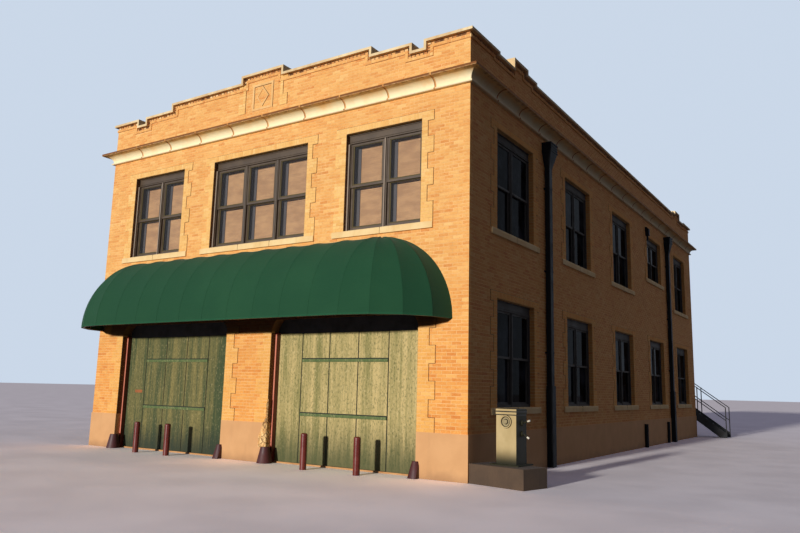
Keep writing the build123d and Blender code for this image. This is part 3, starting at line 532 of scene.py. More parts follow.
@dataclass(frozen=True)
class CorniceFinish:
    """Cast stone of the cornice: pale below, stained orange towards its top edge, which is near black."""

    name: str
    light: Rgb
    stain: Rgb
    edge: Rgb

    def build(self) -> Material:
        """Makes the material.

        Returns:
            The material.
        """
        n = Nodes(self.name)
        where = n.place()
        cloud = n.noise(where, 2.4, 5.0, 0.6)
        colour = n.wash(self.light, self.stain, n.band(cloud, 0.45, 0.75), 0.30)
        top = Size.CORNICE_TOP
        height = n.shifted(n.axis("Z"), cloud, 0.22)
        colour = n.wash(colour, self.stain, n.band(height, top - 0.20, top - 0.03), 0.75)
        rim = n.shifted(n.axis("Z"), n.noise(where, 9.0, 4.0), 0.03)
        colour = n.wash(colour, self.edge, n.band(rim, top - 0.094, top - 0.070), 0.95)
        return n.finish(colour, 0.88, n.noise(where, 90.0, 4.0), 0.0015)


@dataclass(frozen=True)
class RubbleFinish:
    """Broken brick and mortar with dark cracks between the lumps."""

    name: str
    light: Rgb
    middle: Rgb
    crack: Rgb

    def build(self) -> Material:
        """Makes the material.

        Returns:
            The material.
        """
        n = Nodes(self.name)
        where = n.place((1.0, 1.0, 0.8))
        colour = n.mix(n.band(n.noise(where, 14.0, 4.0), 0.35, 0.65), self.middle, self.light)
        cell = n.add("TexVoronoi", feature="DISTANCE_TO_EDGE", Vector=where, Scale=10.0).outputs["Distance"]
        deep = n.band(n.noise(where, 7.0, 2.0), 0.36, 0.50)
        colour = n.wash(colour, self.crack, n.times(n.fade(cell, 0.02, 0.10), deep), 0.8)
        return n.finish(colour, 0.92, n.math("MINIMUM", cell, 0.2), 0.02)


@dataclass(frozen=True)
class PaintFinish:
    """Painted metal with dust and chalking."""

    name: str
    colour: Rgb
    worn: Rgb
    roughness: float = 0.5
    wear: float = 0.4
    metallic: float = 0.0
    shine: float = 0.5

    def build(self) -> Material:
        """Makes the material.

        Returns:
            The material.
        """
        n = Nodes(self.name)
        where = n.place()
        cloud = n.band(n.noise(where, 3.5, 6.0), 0.40, 0.75)
        fleck = n.band(n.noise(where, 38.0, 5.0), 0.60, 0.74)
        colour = n.wash(self.colour, self.worn, cloud, self.wear)
        colour = n.wash(colour, self.worn, fleck, self.wear * 0.8)
        rough = n.math("ADD", self.roughness, n.times(cloud, 0.2))
        grain = n.noise(where, 45.0, 3.0)
        return n.finish(colour, rough, grain, 0.0006, self.metallic, Specular_IOR_Level=self.shine)


@dataclass(frozen=True)
class CabinetFinish:
    """Dark green paint of the cabinet, with pale tones on its front above the foot as painted sunlight and
    reflection; the foot and sides keep the dark green.
    """

    name: str
    bleached_and_sunlit: Rgb
    pale: Rgb
    green: Rgb

    def build(self) -> Material:
        """Makes the material.

        Returns:
            The material.
        """
        n = Nodes(self.name)
        x, y, z = CabinetTrim.place
        turn = math.radians(CabinetTrim.turn)
        across = n.times(n.math("SUBTRACT", n.axis("X"), x), -math.sin(turn))
        depth = n.math("ADD", n.times(n.math("SUBTRACT", n.axis("Y"), y), math.cos(turn)), across)
        front = n.math("LESS_THAN", depth, -CabinetTrim.deep / 2 + 0.001)
        above = n.band(n.axis("Z"), z + 0.03, z + 0.36)
        cloud = n.band(n.noise(n.place((1.0, 1.0, 0.5)), 3.0, 4.0), 0.35, 0.7)
        # Pale front tones: painted sunlight and reflection.
        painted_sunlight = n.mix(cloud, self.bleached_and_sunlit, self.pale)
        colour = n.mix(n.times(front, above), self.green, painted_sunlight)
        rough = n.math("ADD", 0.42, n.times(cloud, 0.15))
        return n.finish(colour, rough, n.noise(n.place(), 45.0, 3.0), 0.0006, Specular_IOR_Level=0.15)


@dataclass(frozen=True)
class BoardFinish:
    """Weathered painted boarding: soft upright bands, a fine speckle, split streaks and a darker foot that is
    painted shadow.
    """

    name: str
    green: Rgb
    bleached_and_sunlit: Rgb
    split: Rgb
    foot_shadow_tone: Rgb
    foot: float
    pale: float = 0.5

    def build(self) -> Material:
        """Makes the material.

        Returns:
            The material.
        """
        n = Nodes(self.name)
        wide = n.noise(n.place((1.0, 1.0, 0.03)), 5.2, 2.0, 0.4)
        streak = n.noise(n.place((1.0, 1.0, 0.06)), 19.0, 5.0, 0.6)
        bands = n.math("ADD", n.times(wide, 0.6), n.times(streak, 0.4))
        colour = n.mix(n.band(bands, 0.36, 0.66), self.green, self.bleached_and_sunlit)
        fleck = n.noise(n.place((1.0, 1.0, 0.55)), 30.0, 5.0, 0.7)
        colour = n.wash(colour, self.split, n.band(fleck, 0.50, 0.64), 0.6)
        pale = n.band(n.noise(n.place((1.0, 1.0, 0.6)), 24.0, 5.0, 0.7), 0.54, 0.66)
        colour = n.wash(colour, n.mix(0.5, self.bleached_and_sunlit, 0xE2D09C), pale, self.pale)
        crack = n.noise(n.place((1.0, 1.0, 0.05)), 34.0, 6.0, 0.7)
        colour = n.wash(colour, self.split, n.band(crack, 0.63, 0.70), 0.7)
        # Darker towards the foot: painted shadow.
        edge = n.shifted(n.axis("Z"), streak, 0.6)
        colour = n.wash(colour, self.foot_shadow_tone, n.fade(edge, 0.05, self.foot), 0.85)
        height = n.math("ADD", n.times(fleck, 0.5), n.times(crack, 0.5))
        return n.finish(colour, 0.82, height, 0.004)


@dataclass(frozen=True)
class ClothFinish:
    """Woven awning cloth: u runs along the awning and v up it, both in metres."""

    name: str
    colour: Rgb
    faded: Rgb

    def build(self) -> Material:
        """Makes the material.

        Returns:
            The material.
        """
        n = Nodes(self.name)
        uv = n.add("UVMap", uv_map="cloth").outputs["UV"]
        warp, weft = (
            n.add("TexWave", Vector=uv, Scale=160.0, wave_type="BANDS", bands_direction=way).outputs["Fac"]
            for way in ("X", "Y")
        )
        weave = n.times(warp, weft)
        colour = n.wash(self.colour, self.faded, n.band(n.noise(n.place(), 0.8, 4.0), 0.35, 0.75), 0.5)
        colour = n.wash(colour, self.faded, weave, 0.25)
        sheen = {"Sheen_Weight": 0.04, "Sheen_Roughness": 0.5, "Specular_IOR_Level": 0.25}
        return n.finish(colour, 0.85, weave, 0.0008, **sheen)


@dataclass(frozen=True)
class GlassFinish:
    """Window glass with a thin film of dust."""

    name: str
    tint: Rgb
    alpha: float
    shine: float = 0.5

    def build(self) -> Material:
        """Makes the material.

        Returns:
            The material.
        """
        n = Nodes(self.name)
        film = n.band(n.noise(n.place(), 1.6, 4.0), 0.4, 0.8)
        colour = n.wash(self.tint, n.mix(0.5, self.tint, 0x78828C), film, 0.5)
        rough = n.math("ADD", 0.03, n.times(film, 0.05))
        return n.finish(colour, rough, Alpha=self.alpha, IOR=1.5, Specular_IOR_Level=self.shine)


@dataclass(frozen=True)
class SlatFinish:
    """Thin painted slats of one tone that softly changes from place to place."""

    name: str
    light: Rgb
    dark: Rgb

    def build(self) -> Material:
        """Makes the material.

        Returns:
            The material.
        """
        n = Nodes(self.name)
        colour = n.mix(n.band(n.noise(n.place((1.0, 1.0, 3.0)), 2.5, 4.0), 0.3, 0.75), self.dark, self.light)
        return n.finish(colour, 0.7, n.noise(n.place(), 150.0, 2.0), 0.0005)


class Finish(Enum):
    """Every finish of the station with its recipe."""

    BRICK = BrickFinish("face_brick", (0xE49850, 0xEEAA5E, 0xF5B86A, 0xFAC67C))
    TRIM_BRICK = BrickFinish("trim_brick", (0xECB262, 0xF4C070, 0xF8C87A, 0xFCD28A))
    HEADER_BRICK = BrickFinish("header_brick", (0x885028, 0xCE884A, 0xF0B874, 0xFFE2AE))
    # Dark brick for the front window reveals and the bay jambs: painted shade in these recesses.
    REVEAL_BRICK = BrickFinish("reveal_brick_painted_shade", (0x5C3A20, 0x684426, 0x704A2A, 0x7A5230))
    # More orange copy of the trim brick for the walls out of the sun: painted warm light.
    SIDE_TRIM = BrickFinish("side_trim_painted_light", (0xF8AC58, 0xFCBA62, 0xFFC26A, 0xFFCC76))
    # Dark joint colour of the header course, also used as painted shade behind the front reveals and as
    # painted shadow lines beside the ornament.
    RAKED = StoneFinish("raked_joint_and_painted_shade", 0x7A4C26, 0x5C361A, 0x462A16, 0.3, 90.0)
    # Dark lines round the toothed trim: joints on the other walls, painted shadow lines on the front.
    GROOVE = StoneFinish("groove_joint_and_painted_shadow", 0x926032, 0x744A26, 0x58381E, 0.3, 90.0)
    MORTAR = StoneFinish("mortar", 0xFACC8C, 0xE8B470, 0xBE8A54, 0.25, 120.0)
    PLINTH = StoneFinish("plinth", 0xE4AD77, 0xDBA46F, 0x966C4E, 0.12, 40.0, 0.0015, 0.22)
    KERB = StoneFinish("kerb", 0xDEA870, 0xC48C56, 0x825C3E, 0.3, 40.0)
    CAST_STONE = StoneFinish("cast_stone", 0xFADCA4, 0xEEC88A, 0xC4945C, 0.3, 50.0)
    CORNICE = CorniceFinish("cornice_stone", 0xFFEEC4, 0xFFC472, 0x763E0A)
    COPING = StoneFinish("coping", 0xFAE4B6, 0xDEBC8A, 0x96704A, 0.4, 40.0)
    CONCRETE = StoneFinish("concrete", 0x5D4938, 0x4B3B2E, 0x392E24, 0.4, 30.0, 0.002)
    ROOFING = StoneFinish("roofing", 0x706C66, 0x54504C, 0x3C3A37, 0.5, 70.0, 0.004)
    DARK_JOINERY = PaintFinish("dark_joinery", 0x504132, 0x6A5742, 0.4, 0.3)
    GREY_JOINERY = PaintFinish("grey_joinery", 0x46423E, 0x5C5650, 0.6, 0.3, 0.0, 0.1)
    BEAD = PaintFinish("pale_bead", 0x968472, 0xAC9A86, 0.4, 0.3)
    SASH_BEAD = PaintFinish("sash_bead", 0x54492E, 0x685A3A, 0.5, 0.3, 0.0, 0.2)
    FRONT_GLASS = GlassFinish("front_glass", 0x606064, 0.12, 0.2)
    # Opaque near-black glass stands for the unlit rooms behind: painted shade.
    SIDE_GLASS = GlassFinish("side_glass", 0x0E0C0C, 1.0, 0.008)
    BLIND = SlatFinish("blind", 0xECBA86, 0xCE9E72)
    LINER = PaintFinish("window_liner", 0x585456, 0x686260, 0.5, 0.3)
    LEFT_BOARDS = BoardFinish("left_boards", 0x3C4927, 0x867A46, 0x28351C, 0x1B281A, 0.9, 0.32)
    RIGHT_BOARDS = BoardFinish("right_boards", 0x86804A, 0xD0B87C, 0x4A522A, 0x424A28, 1.15, 0.6)
    RAILS = BoardFinish("board_rails", 0x54683A, 0x647242, 0x42542E, 0x34462A, 0.5)
    # Near-black green in the grooves between the bay boards: painted shade.
    GROOVES = PaintFinish("board_grooves_painted_shade", 0x242A1B, 0x303622, 0.8, 0.3)
    # Near-black boards in the bay heads under the awning: painted shade.
    HEADER = PaintFinish("painted_shade_header", 0x090706, 0x0E0B09, 0.8, 0.3)
    RED_PAINT = PaintFinish("red_paint", 0x6A1E14, 0x8C3A2A, 0.26, 0.35)
    GUARD_PAINT = PaintFinish("guard_paint", 0x441513, 0x5C2620, 0.5, 0.5)
    CLOTH = ClothFinish("awning_cloth", 0x17462C, 0x225133)
    HEM = ClothFinish("awning_hem", 0x184E32, 0x22583A)
    STEEL = PaintFinish("frame_steel", 0x787670, 0x5C4C3C, 0.4, 0.5, 0.7)
    IRON = PaintFinish("dark_iron", 0x1A1B1E, 0x28282A, 0.6, 0.4, 0.0, 0.1)
    # The two pale tones are painted sunlight and reflection on the front; the last is the cabinet's dark
    # green.
    CABINET = CabinetFinish("cabinet_green_painted_sunlit_front", 0xBCA474, 0xCEB686, 0x2C2A1C)
    DIAL = PaintFinish("dial_metal", 0x1E1E16, 0x2E2B20, 0.35, 0.4, 0.3)
    BRIGHT_DIAL = PaintFinish("bright_dial", 0xB09E74, 0x8C7C5A, 0.3, 0.5, 0.5)
    GRIP = PaintFinish("bright_grip", 0xE8DCC4, 0xC8BAA0, 0.3, 0.3, 0.3)
    STAIR = PaintFinish("stair_steel", 0x1E1F22, 0x3C3632, 0.7, 0.4)
    DOOR = PaintFinish("door_paint", 0x6E6A62, 0x8C867C, 0.5, 0.3)
    # Pale pink of the jamb post edges: painted highlight.
    WORN_JAMB = PaintFinish("painted_jamb_highlight", 0xDE886A, 0xA03E32, 0.5, 0.35)
    JOINT = StoneFinish("stone_joint", 0x8C643C, 0x6E4C2C, 0x5A3E26, 0.3, 90.0)
    SMEAR = StoneFinish("joint_smear", 0xEEB068, 0xD28C48, 0xAA6A36, 0.4, 60.0)
    RUST = StoneFinish("rust_patch", 0xC47642, 0x965832, 0x6E4228, 0.4, 60.0)
    RUBBLE = RubbleFinish("broken_corner", 0xFFD696, 0xE6B06E, 0x5C361C)


class Finishes:
    """Materials of all finishes, made once."""

    def __init__(self) -> None:
        """Makes the materials."""
        self.materials = {finish: finish.value.build() for finish in Finish}

    def dress(self, piece: Piece, finish: Finish) -> None:
        """Gives a whole piece one finish."""
        piece.data.materials.clear()
        piece.data.materials.append(self.materials[finish])


NODE_FINISHES = {
    Finish.CONCRETE: ("ground_floor", "upper_floor", "cabinet_block"),
    Finish.ROOFING: ("roof_deck",),
    Finish.PLINTH: ("front_plinth", "side_plinths", "rear_plinth"),
    Finish.MORTAR: (
        "front_piers", "front_wall", "right_wall", "left_wall", "rear_wall", "front_parapet",
        "side_parapets", "rear_parapet", "window_surrounds", "bay_quoins", "parapet_panel",
        "parapet_band",
    ),
    Finish.CORNICE: ("front_cornice", "side_cornices", "rear_cornice"),
    Finish.CAST_STONE: ("window_sills",),
    Finish.COPING: ("front_coping", "side_copings", "rear_coping"),
    Finish.DARK_JOINERY: ("front_window_frames",),
    Finish.GREY_JOINERY: ("other_window_frames",),
    Finish.FRONT_GLASS: ("front_glass",),
    Finish.SIDE_GLASS: ("other_glass",),
    Finish.GROOVES: ("bay_boards",),
    Finish.GUARD_PAINT: ("wheel_guards",),
    Finish.RED_PAINT: ("bollards", "bay_jambs"),
    Finish.STEEL: ("awning_frame",),
    Finish.IRON: ("downspouts", "wall_fittings"),
    Finish.CABINET: ("cabinet",),
    Finish.DOOR: ("rear_door",),
    Finish.STAIR: ("stair_sides", "stair_treads", "stair_landing"),
}


# Making pieces


def deselect() -> None:
    """Clears the selection, so that an operator acts on one piece alone."""
    if bpy.context.object and bpy.context.object.mode != "OBJECT":
        bpy.ops.object.mode_set(mode="OBJECT")
    bpy.ops.object.select_all(action="DESELECT")


def choose(*pieces: Piece) -> None:
    """Selects some pieces and nothing else, with the first one active.

    Args:
        pieces: The pieces.
    """
    deselect()
    for piece in pieces:
        piece.select_set(True)
    bpy.context.view_layer.objects.active = pieces[0]


def add(name: str, primitive: Callable, **sizes: object) -> Piece:
    """Adds one primitive and names it.

    Args:
        name: Its name.
        primitive: Operator that adds it.
        sizes: The operator's settings.

    Returns:
        The piece.
    """
    deselect()
    primitive(**sizes)
    piece = bpy.context.object
    piece.name = name
    piece.data.name = name
    return piece


def cube(name: str) -> Piece:
    """Adds a cube of one metre at the origin."""
    return add(name, bpy.ops.mesh.primitive_cube_add, size=1.0)


def grid(name: str, columns: int, rows: int) -> Piece:
    """Adds a flat grid of one metre at the origin."""
    return add(name, bpy.ops.mesh.primitive_grid_add, x_subdivisions=columns, y_subdivisions=rows, size=1.0)


def settle(piece: Piece) -> None:
    """Applies a piece's place, turn and size to its mesh.

    Args:
        piece: The piece.
    """
    choose(piece)
    bpy.ops.object.transform_apply(location=True, rotation=True, scale=True)
    deselect()


def modify(piece: Piece, kind: str, **values: object) -> None:
    """Adds one modifier to a piece and applies it.

    Args:
        piece: The piece.
        kind: Kind of the modifier.
        values: Its settings by name.
    """
    modifier = piece.modifiers.new(kind.lower(), kind)
    for key, value in values.items():
        setattr(modifier, key, value)
    choose(piece)
    bpy.ops.object.modifier_apply(modifier=modifier.name)
    deselect()


def mesh_piece(name: str, points: np.ndarray, faces: np.ndarray, tone: Optional[np.ndarray] = None) -> Piece:
    """Makes one object from stamped points and faces.

    Args:
        name: Name of the piece.
        points: Rows of x, y, z.
        faces: Rows of point numbers, all faces with the same number of corners.
        tone: One tone for each point, or None.

    Returns:
        The new object, at the origin.
    """
    mesh = bpy.data.meshes.new(name)
    mesh.from_pydata(points.tolist(), [], faces.tolist())
    if tone is not None:
        mesh.attributes.new("tone", "FLOAT", "POINT").data.foreach_set("value", tone.astype(np.float32))
    mesh.update()
    piece = bpy.data.objects.new(name, mesh)
    bpy.context.scene.collection.objects.link(piece)
    return piece


def strip_piece(name: str, lines: Iterable[list[tuple[Vector, Vector]]]) -> Piece:
    """Makes flat strips, each between two rows of edge points.

    Args:
        name: Name of the piece.
        lines: Pairs of opposite edge points, in order along each strip.

    Returns:
        The new object, with no thickness yet.
    """
    points, faces = [], []
    for line in lines:
        start = len(points)
        points += [tuple(end) for pair in line for end in pair]
        faces += [(i, i + 1, i + 3, i + 2) for i in range(start, len(points) - 2, 2)]
    return mesh_piece(name, np.array(points), np.array(faces))


def dressed_box(face: WallFace, u: Span, v: Span, w: Span, ease: float = 0.0) -> Piece:
    """One box on a wall face with eased edges.

    Args:
        face: Wall face that it lies on.
        u: Left and right edge.
        v: Foot and top.
        w: Back and front.
        ease: Width of the eased edges.

    Returns:
        The box.
    """
    box = cube("box")
    box.scale = (u[1] - u[0], v[1] - v[0], w[1] - w[0])
    settle(box)
    centre = Vector((sum(u) / 2, sum(v) / 2, sum(w) / 2))
    box.data.transform(face.matrix() @ Matrix.Translation(centre))
    if ease:
        modify(box, "BEVEL", width=ease, segments=2)
    return box


@dataclass
class SubAssembly:
    """What all sub-assemblies share."""

    finishes: Finishes

    def join(self, name: str, parts: list[Piece], finish: Finish, slot: str) -> None:
        """Joins parts into one named, dressed and riding piece.

        Args:
            name: Name of the piece.
            parts: What it is joined from.
            finish: Its finish.
            slot: Not used.
        """
        choose(*parts)
        if len(parts) > 1:
            bpy.ops.object.join()
        piece = bpy.context.object
        piece.name = name
        piece.data.name = name
        bpy.ops.object.mode_set(mode="EDIT")
        bpy.ops.mesh.select_all(action="SELECT")
        bpy.ops.mesh.normals_make_consistent(inside=False)
        bpy.ops.object.mode_set(mode="OBJECT")
        self.finishes.dress(piece, finish)
        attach(piece, "root")
        LOG.info("%s: %d parts", name, len(parts))


# Laying out brick


class BrickStamp:
    """One brick, taken once from a cube as a closed block and stamped wherever a wall needs it."""

    ARRIS = 0.0022
    SUNK = 0.001

    def __init__(self) -> None:
        """Keeps the corners and faces of a cube."""
        brick = cube("brick_stamp")
        self.corners = np.sign([v.co[:] for v in brick.data.vertices])
        self.faces = np.array([p.vertices[:] for p in brick.data.polygons])
        bpy.data.objects.remove(brick)

    def stamp(self, boxes: np.ndarray, foot: float, proud: np.ndarray) -> tuple[np.ndarray, np.ndarray]:
        """Stamps a brick on each box.

        Args:
            boxes: Rows of u0, u1, v0, v1 in metres.
            foot: Height of the bricks' backs off the face.
            proud: How far each brick stands off its back.

        Returns:
            Rows of u, v, w and rows of point numbers.
        """
        front = self.corners[:, 2] > 0
        middle = np.stack([boxes[:, 0] + boxes[:, 1], boxes[:, 2] + boxes[:, 3]], axis=1) / 2
        half = np.stack([boxes[:, 1] - boxes[:, 0], boxes[:, 3] - boxes[:, 2]], axis=1) / 2
        inset = np.where(front, self.ARRIS, 0.0)[None, :, None]
        uv = middle[:, None, :] + self.corners[None, :, :2] * (half[:, None, :] - inset)
        w = foot + np.where(front[None, :], proud[:, None], -self.SUNK)
        points = np.concatenate([uv, w[:, :, None]], axis=2).reshape(-1, 3)
        first = len(self.corners) * np.arange(len(boxes))[:, None, None]
        return points, (self.faces[None] + first).reshape(-1, self.faces.shape[1])


@dataclass
class BrickField:
    """Bricks gathered from any number of faces into one piece."""

    name: str
    finish: Finish
    seed: int
    slot: str = "brick"
    parts: list[tuple[WallFace, np.ndarray, float, float]] = field(default_factory=list)

    def lay(self, face: WallFace, boxes: list[Box], foot: float = 0.0, uneven: float = 0.0008) -> None:
        """Adds bricks on one face, whose backs lie foot off it and whose fronts differ by uneven."""
        if boxes:
            self.parts.append((face, np.array(boxes), foot, uneven))

    def build(self, stamp: BrickStamp, finishes: Finishes) -> Piece:
        """Makes the piece and dresses it.

        Args:
            stamp: The brick to stamp.
            finishes: The station's finishes.

        Returns:
            The piece.
        """
        rng = np.random.default_rng(self.seed)
        points, faces, tones, start = [], [], [], 0
        for face, boxes, foot, uneven in self.parts:
            proud = Size.BRICK_PROUD + rng.uniform(-uneven, uneven, len(boxes))
            uvw, corner = stamp.stamp(boxes, foot, proud)
            points.append(face.points(uvw))
            faces.append(corner + start)
            tone = np.clip(rng.normal(0.5, 0.22, len(boxes)), 0, 1)
            tones.append(np.repeat(tone, len(stamp.corners)))
            start += len(uvw)
        piece = mesh_piece(self.name, np.vstack(points), np.vstack(faces), np.concatenate(tones))
        finishes.dress(piece, self.finish)
        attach(piece, "root")
        LOG.info("%s: %d bricks", self.name, sum(len(p[1]) for p in self.parts))
        return piece


def free_spans(low: float, high: float, blocked: list[Span]) -> list[Span]:
    """What is left of a stretch once the blocked spans are taken out.

    Args:
        low: Left end of the stretch.
        high: Right end of the stretch.
        blocked: Spans with no bricks.

    Returns:
        The spans that are left.
    """
    spans = [(low, high)]
    for b0, b1 in blocked:
        rest = []
        for s0, s1 in spans:
            pieces = ((s0, s1),) if b1 <= s0 or b0 >= s1 else ((s0, b0), (b1, s1))
            rest += [piece for piece in pieces if piece[1] > piece[0]]
        spans = rest
    return spans


def running_bond(low: float, high: float, odd: bool) -> list[Span]:
    """Bricks of one course between two ends, on the wall's own grid.

    Args:
        low: Left end.
        high: Right end.
        odd: Whether the course is shifted by half a brick.

    Returns:
        Left and right edge of each brick.
    """
    pitch = Size.BRICK_PITCH
    shift = pitch / 2 if odd else 0.0
    first = math.ceil((low + Size.LEAST_CUT - shift) / pitch)
    last = math.floor((high - Size.LEAST_CUT - shift) / pitch)
    cuts = [low] + [n * pitch + shift for n in range(first, last + 1)] + [high]
    half = Size.JOINT / 2
    bricks = []
    for number, (a, b) in enumerate(zip(cuts, cuts[1:])):
        left = a if number == 0 else a + half
        right = b if number == len(cuts) - 2 else b - half
        if right - left > Size.LEAST_BRICK:
            bricks.append((left, right))
    return bricks


@dataclass(frozen=True)
class Hole:
    """Rectangle of a wall that has no bricks."""

    u0: float
    u1: float
    v0: float
    v1: float


def coursed(low: float, high: float, foot: float, top: float, holes: Iterable[Hole] = (),
            limits: Optional[Limits] = None) -> list[Box]:
    """Lays the courses of a wall.

    Args:
        low: Left end of the wall.
        high: Right end of the wall.
        foot: Height that it starts at.
        top: Height that it ends at.
        holes: Rectangles with no bricks.
        limits: Gives the left end, right end and top of each run at a height, where the top is stepped.

    Returns:
        Bricks as u0, u1, v0, v1.
    """
    boxes = []
    base = Size.PLINTH_TOP
    half = Size.JOINT / 2
    first = math.floor((foot - base) / Size.COURSE + 1e-6)
    last = math.ceil((top - base) / Size.COURSE - 1e-6)
    for number in range(first, last):
        v0 = max(base + number * Size.COURSE, foot) + half
        v1 = min(base + (number + 1) * Size.COURSE, top) - half
        if v1 - v0 < Size.LEAST_COURSE:
            continue
        middle = (v0 + v1) / 2
        blocked = [(h.u0, h.u1) for h in holes if h.v0 < middle < h.v1]
        runs = limits(v0) if limits else [(low, high, top)]
        for r0, r1, ceiling in runs:
            upper = min(v1, ceiling - half)
            if upper - v0 < Size.LEAST_COURSE:
                continue
            for s0, s1 in free_spans(max(r0, low), min(r1, high), blocked):
                boxes += [(a, b, v0, upper) for a, b in running_bond(s0, s1, number % 2 == 1)]
    return boxes


class Parapet:
    """Stepped tops of the parapets, as in the part's source."""

    NOTCH = 8.87
    RISE = 0.19
    CREST_HALF = 0.705
    SHOULDER_HALF = 3.336
    RAISED_HALF = 4.41
    NOTCH_HALF = 4.71
    SIDE_CORNER = 1.26
    SIDE_NOTCH = 0.77
    SIDE_BLOCK = 0.79
    SIDE_LEDGE = 0.54
    SIDE_DROP = 0.06
    HEADER_PITCH = 0.108

    @classmethod
    def corner(cls) -> float:
        """Top of the coping at the corners."""
        return cls.NOTCH + cls.RISE

    @classmethod
    def front(cls) -> list[Run]:
        """Runs of the front parapet.

        Returns:
            Left end, right end and top of each run.
        """
        a, half = Size.FRONT_AXIS, Size.WIDTH / 2
        left = [
            (-half, a - cls.NOTCH_HALF, cls.corner()),
            (a - cls.NOTCH_HALF, a - cls.RAISED_HALF, cls.NOTCH),
            (a - cls.RAISED_HALF, a - cls.SHOULDER_HALF, cls.corner()),
            (a - cls.SHOULDER_HALF, a - cls.CREST_HALF, cls.NOTCH + 2 * cls.RISE),
        ]
        right = [(2 * a - high, 2 * a - low, top) for low, high, top in reversed(left)]
        right[-1] = (right[-1][0], half, right[-1][2])
        return left + [(a - cls.CREST_HALF, a + cls.CREST_HALF, cls.NOTCH + 3 * cls.RISE)] + right

    @classmethod
    def side(cls) -> list[Run]:
        """Runs of a side parapet.

        Returns:
            Left end, right end and top of each run.
        """
        half = Size.DEPTH / 2
        notch = half - cls.SIDE_CORNER
        block = notch - cls.SIDE_NOTCH
        ledge = block - cls.SIDE_BLOCK
        middle = ledge - cls.SIDE_LEDGE
        near = [
            (-half, -notch, cls.corner()),
            (-notch, -block, cls.corner() - cls.SIDE_DROP),
            (-block, -ledge, cls.corner() + cls.RISE),
            (-ledge, -middle, cls.corner() + Size.COURSE),
        ]
        far = [(-high, -low, top) for low, high, top in reversed(near)]
        return near + [(-middle, middle, cls.corner())] + far

    @classmethod
    def rear(cls) -> list[Run]:
        """The level run of the rear parapet."""
        return [(-Size.WIDTH / 2, Size.WIDTH / 2, cls.corner())]

    @staticmethod
    def limits(runs: list[Run], over: float, drop: float) -> Limits:
        """Makes the function that limits a parapet's courses.

        Args:
            runs: The parapet's runs.
            over: How far the courses reach past both corners.
            drop: How far they stay under the coping's top and inside its steps.

        Returns:
            Function that gives the runs that reach a height.
        """
        inner = []
        for number, (low, high, top) in enumerate(runs):
            if number > 0:
                low += drop if top > runs[number - 1][2] else -drop
            if number < len(runs) - 1:
                high += -drop if top > runs[number + 1][2] else drop
            inner.append((low, high, top - drop))
        inner[0] = (inner[0][0] - over, *inner[0][1:])
        inner[-1] = (inner[-1][0], inner[-1][1] + over, inner[-1][2])
        return lambda height: [run for run in inner if run[2] > height + Size.LEAST_BRICK]

    @classmethod
    def headers(cls, runs: list[Run], drop: float, half: float, joint: float) -> list[Box]:
        """Brick ends that follow the stepped line, also up its steps.

        Args:
            runs: The parapet's runs.
            drop: Distance under the coping's top.
            half: Half of the wall's length.
            joint: Width of the joints.

        Returns:
            Bricks as u0, u1, v0, v1.
        """
        boxes = []
        inner = drop + Size.COURSE
        gap = joint / 2
        for number, (low, high, top) in enumerate(runs):
            left, right = max(low, -half), min(high, half)
            for before, edge, sense in ((number - 1, low, 1), (number + 1, high, -1)):
                if not 0 <= before < len(runs):
                    continue
                other = runs[before][2]
                shift = inner if top > other else -drop
                if sense > 0:
                    left = low + shift
                else:
                    right = high - shift
                if top > other:
                    u0, u1 = between(edge, sense, drop, inner)
                    count = max(1, round((top - other + Size.COURSE) / Size.COURSE))
                    step = (top - other + Size.COURSE) / count
                    boxes += [(u0, u1, *levels) for levels in equal(other - inner, step, count, gap)]
            count = max(1, round((right - left) / cls.HEADER_PITCH))
            step = (right - left) / count
            levels = (top - inner + gap, top - drop - gap)
            boxes += [(*ends, *levels) for ends in equal(left, step, count, gap)]
        return boxes


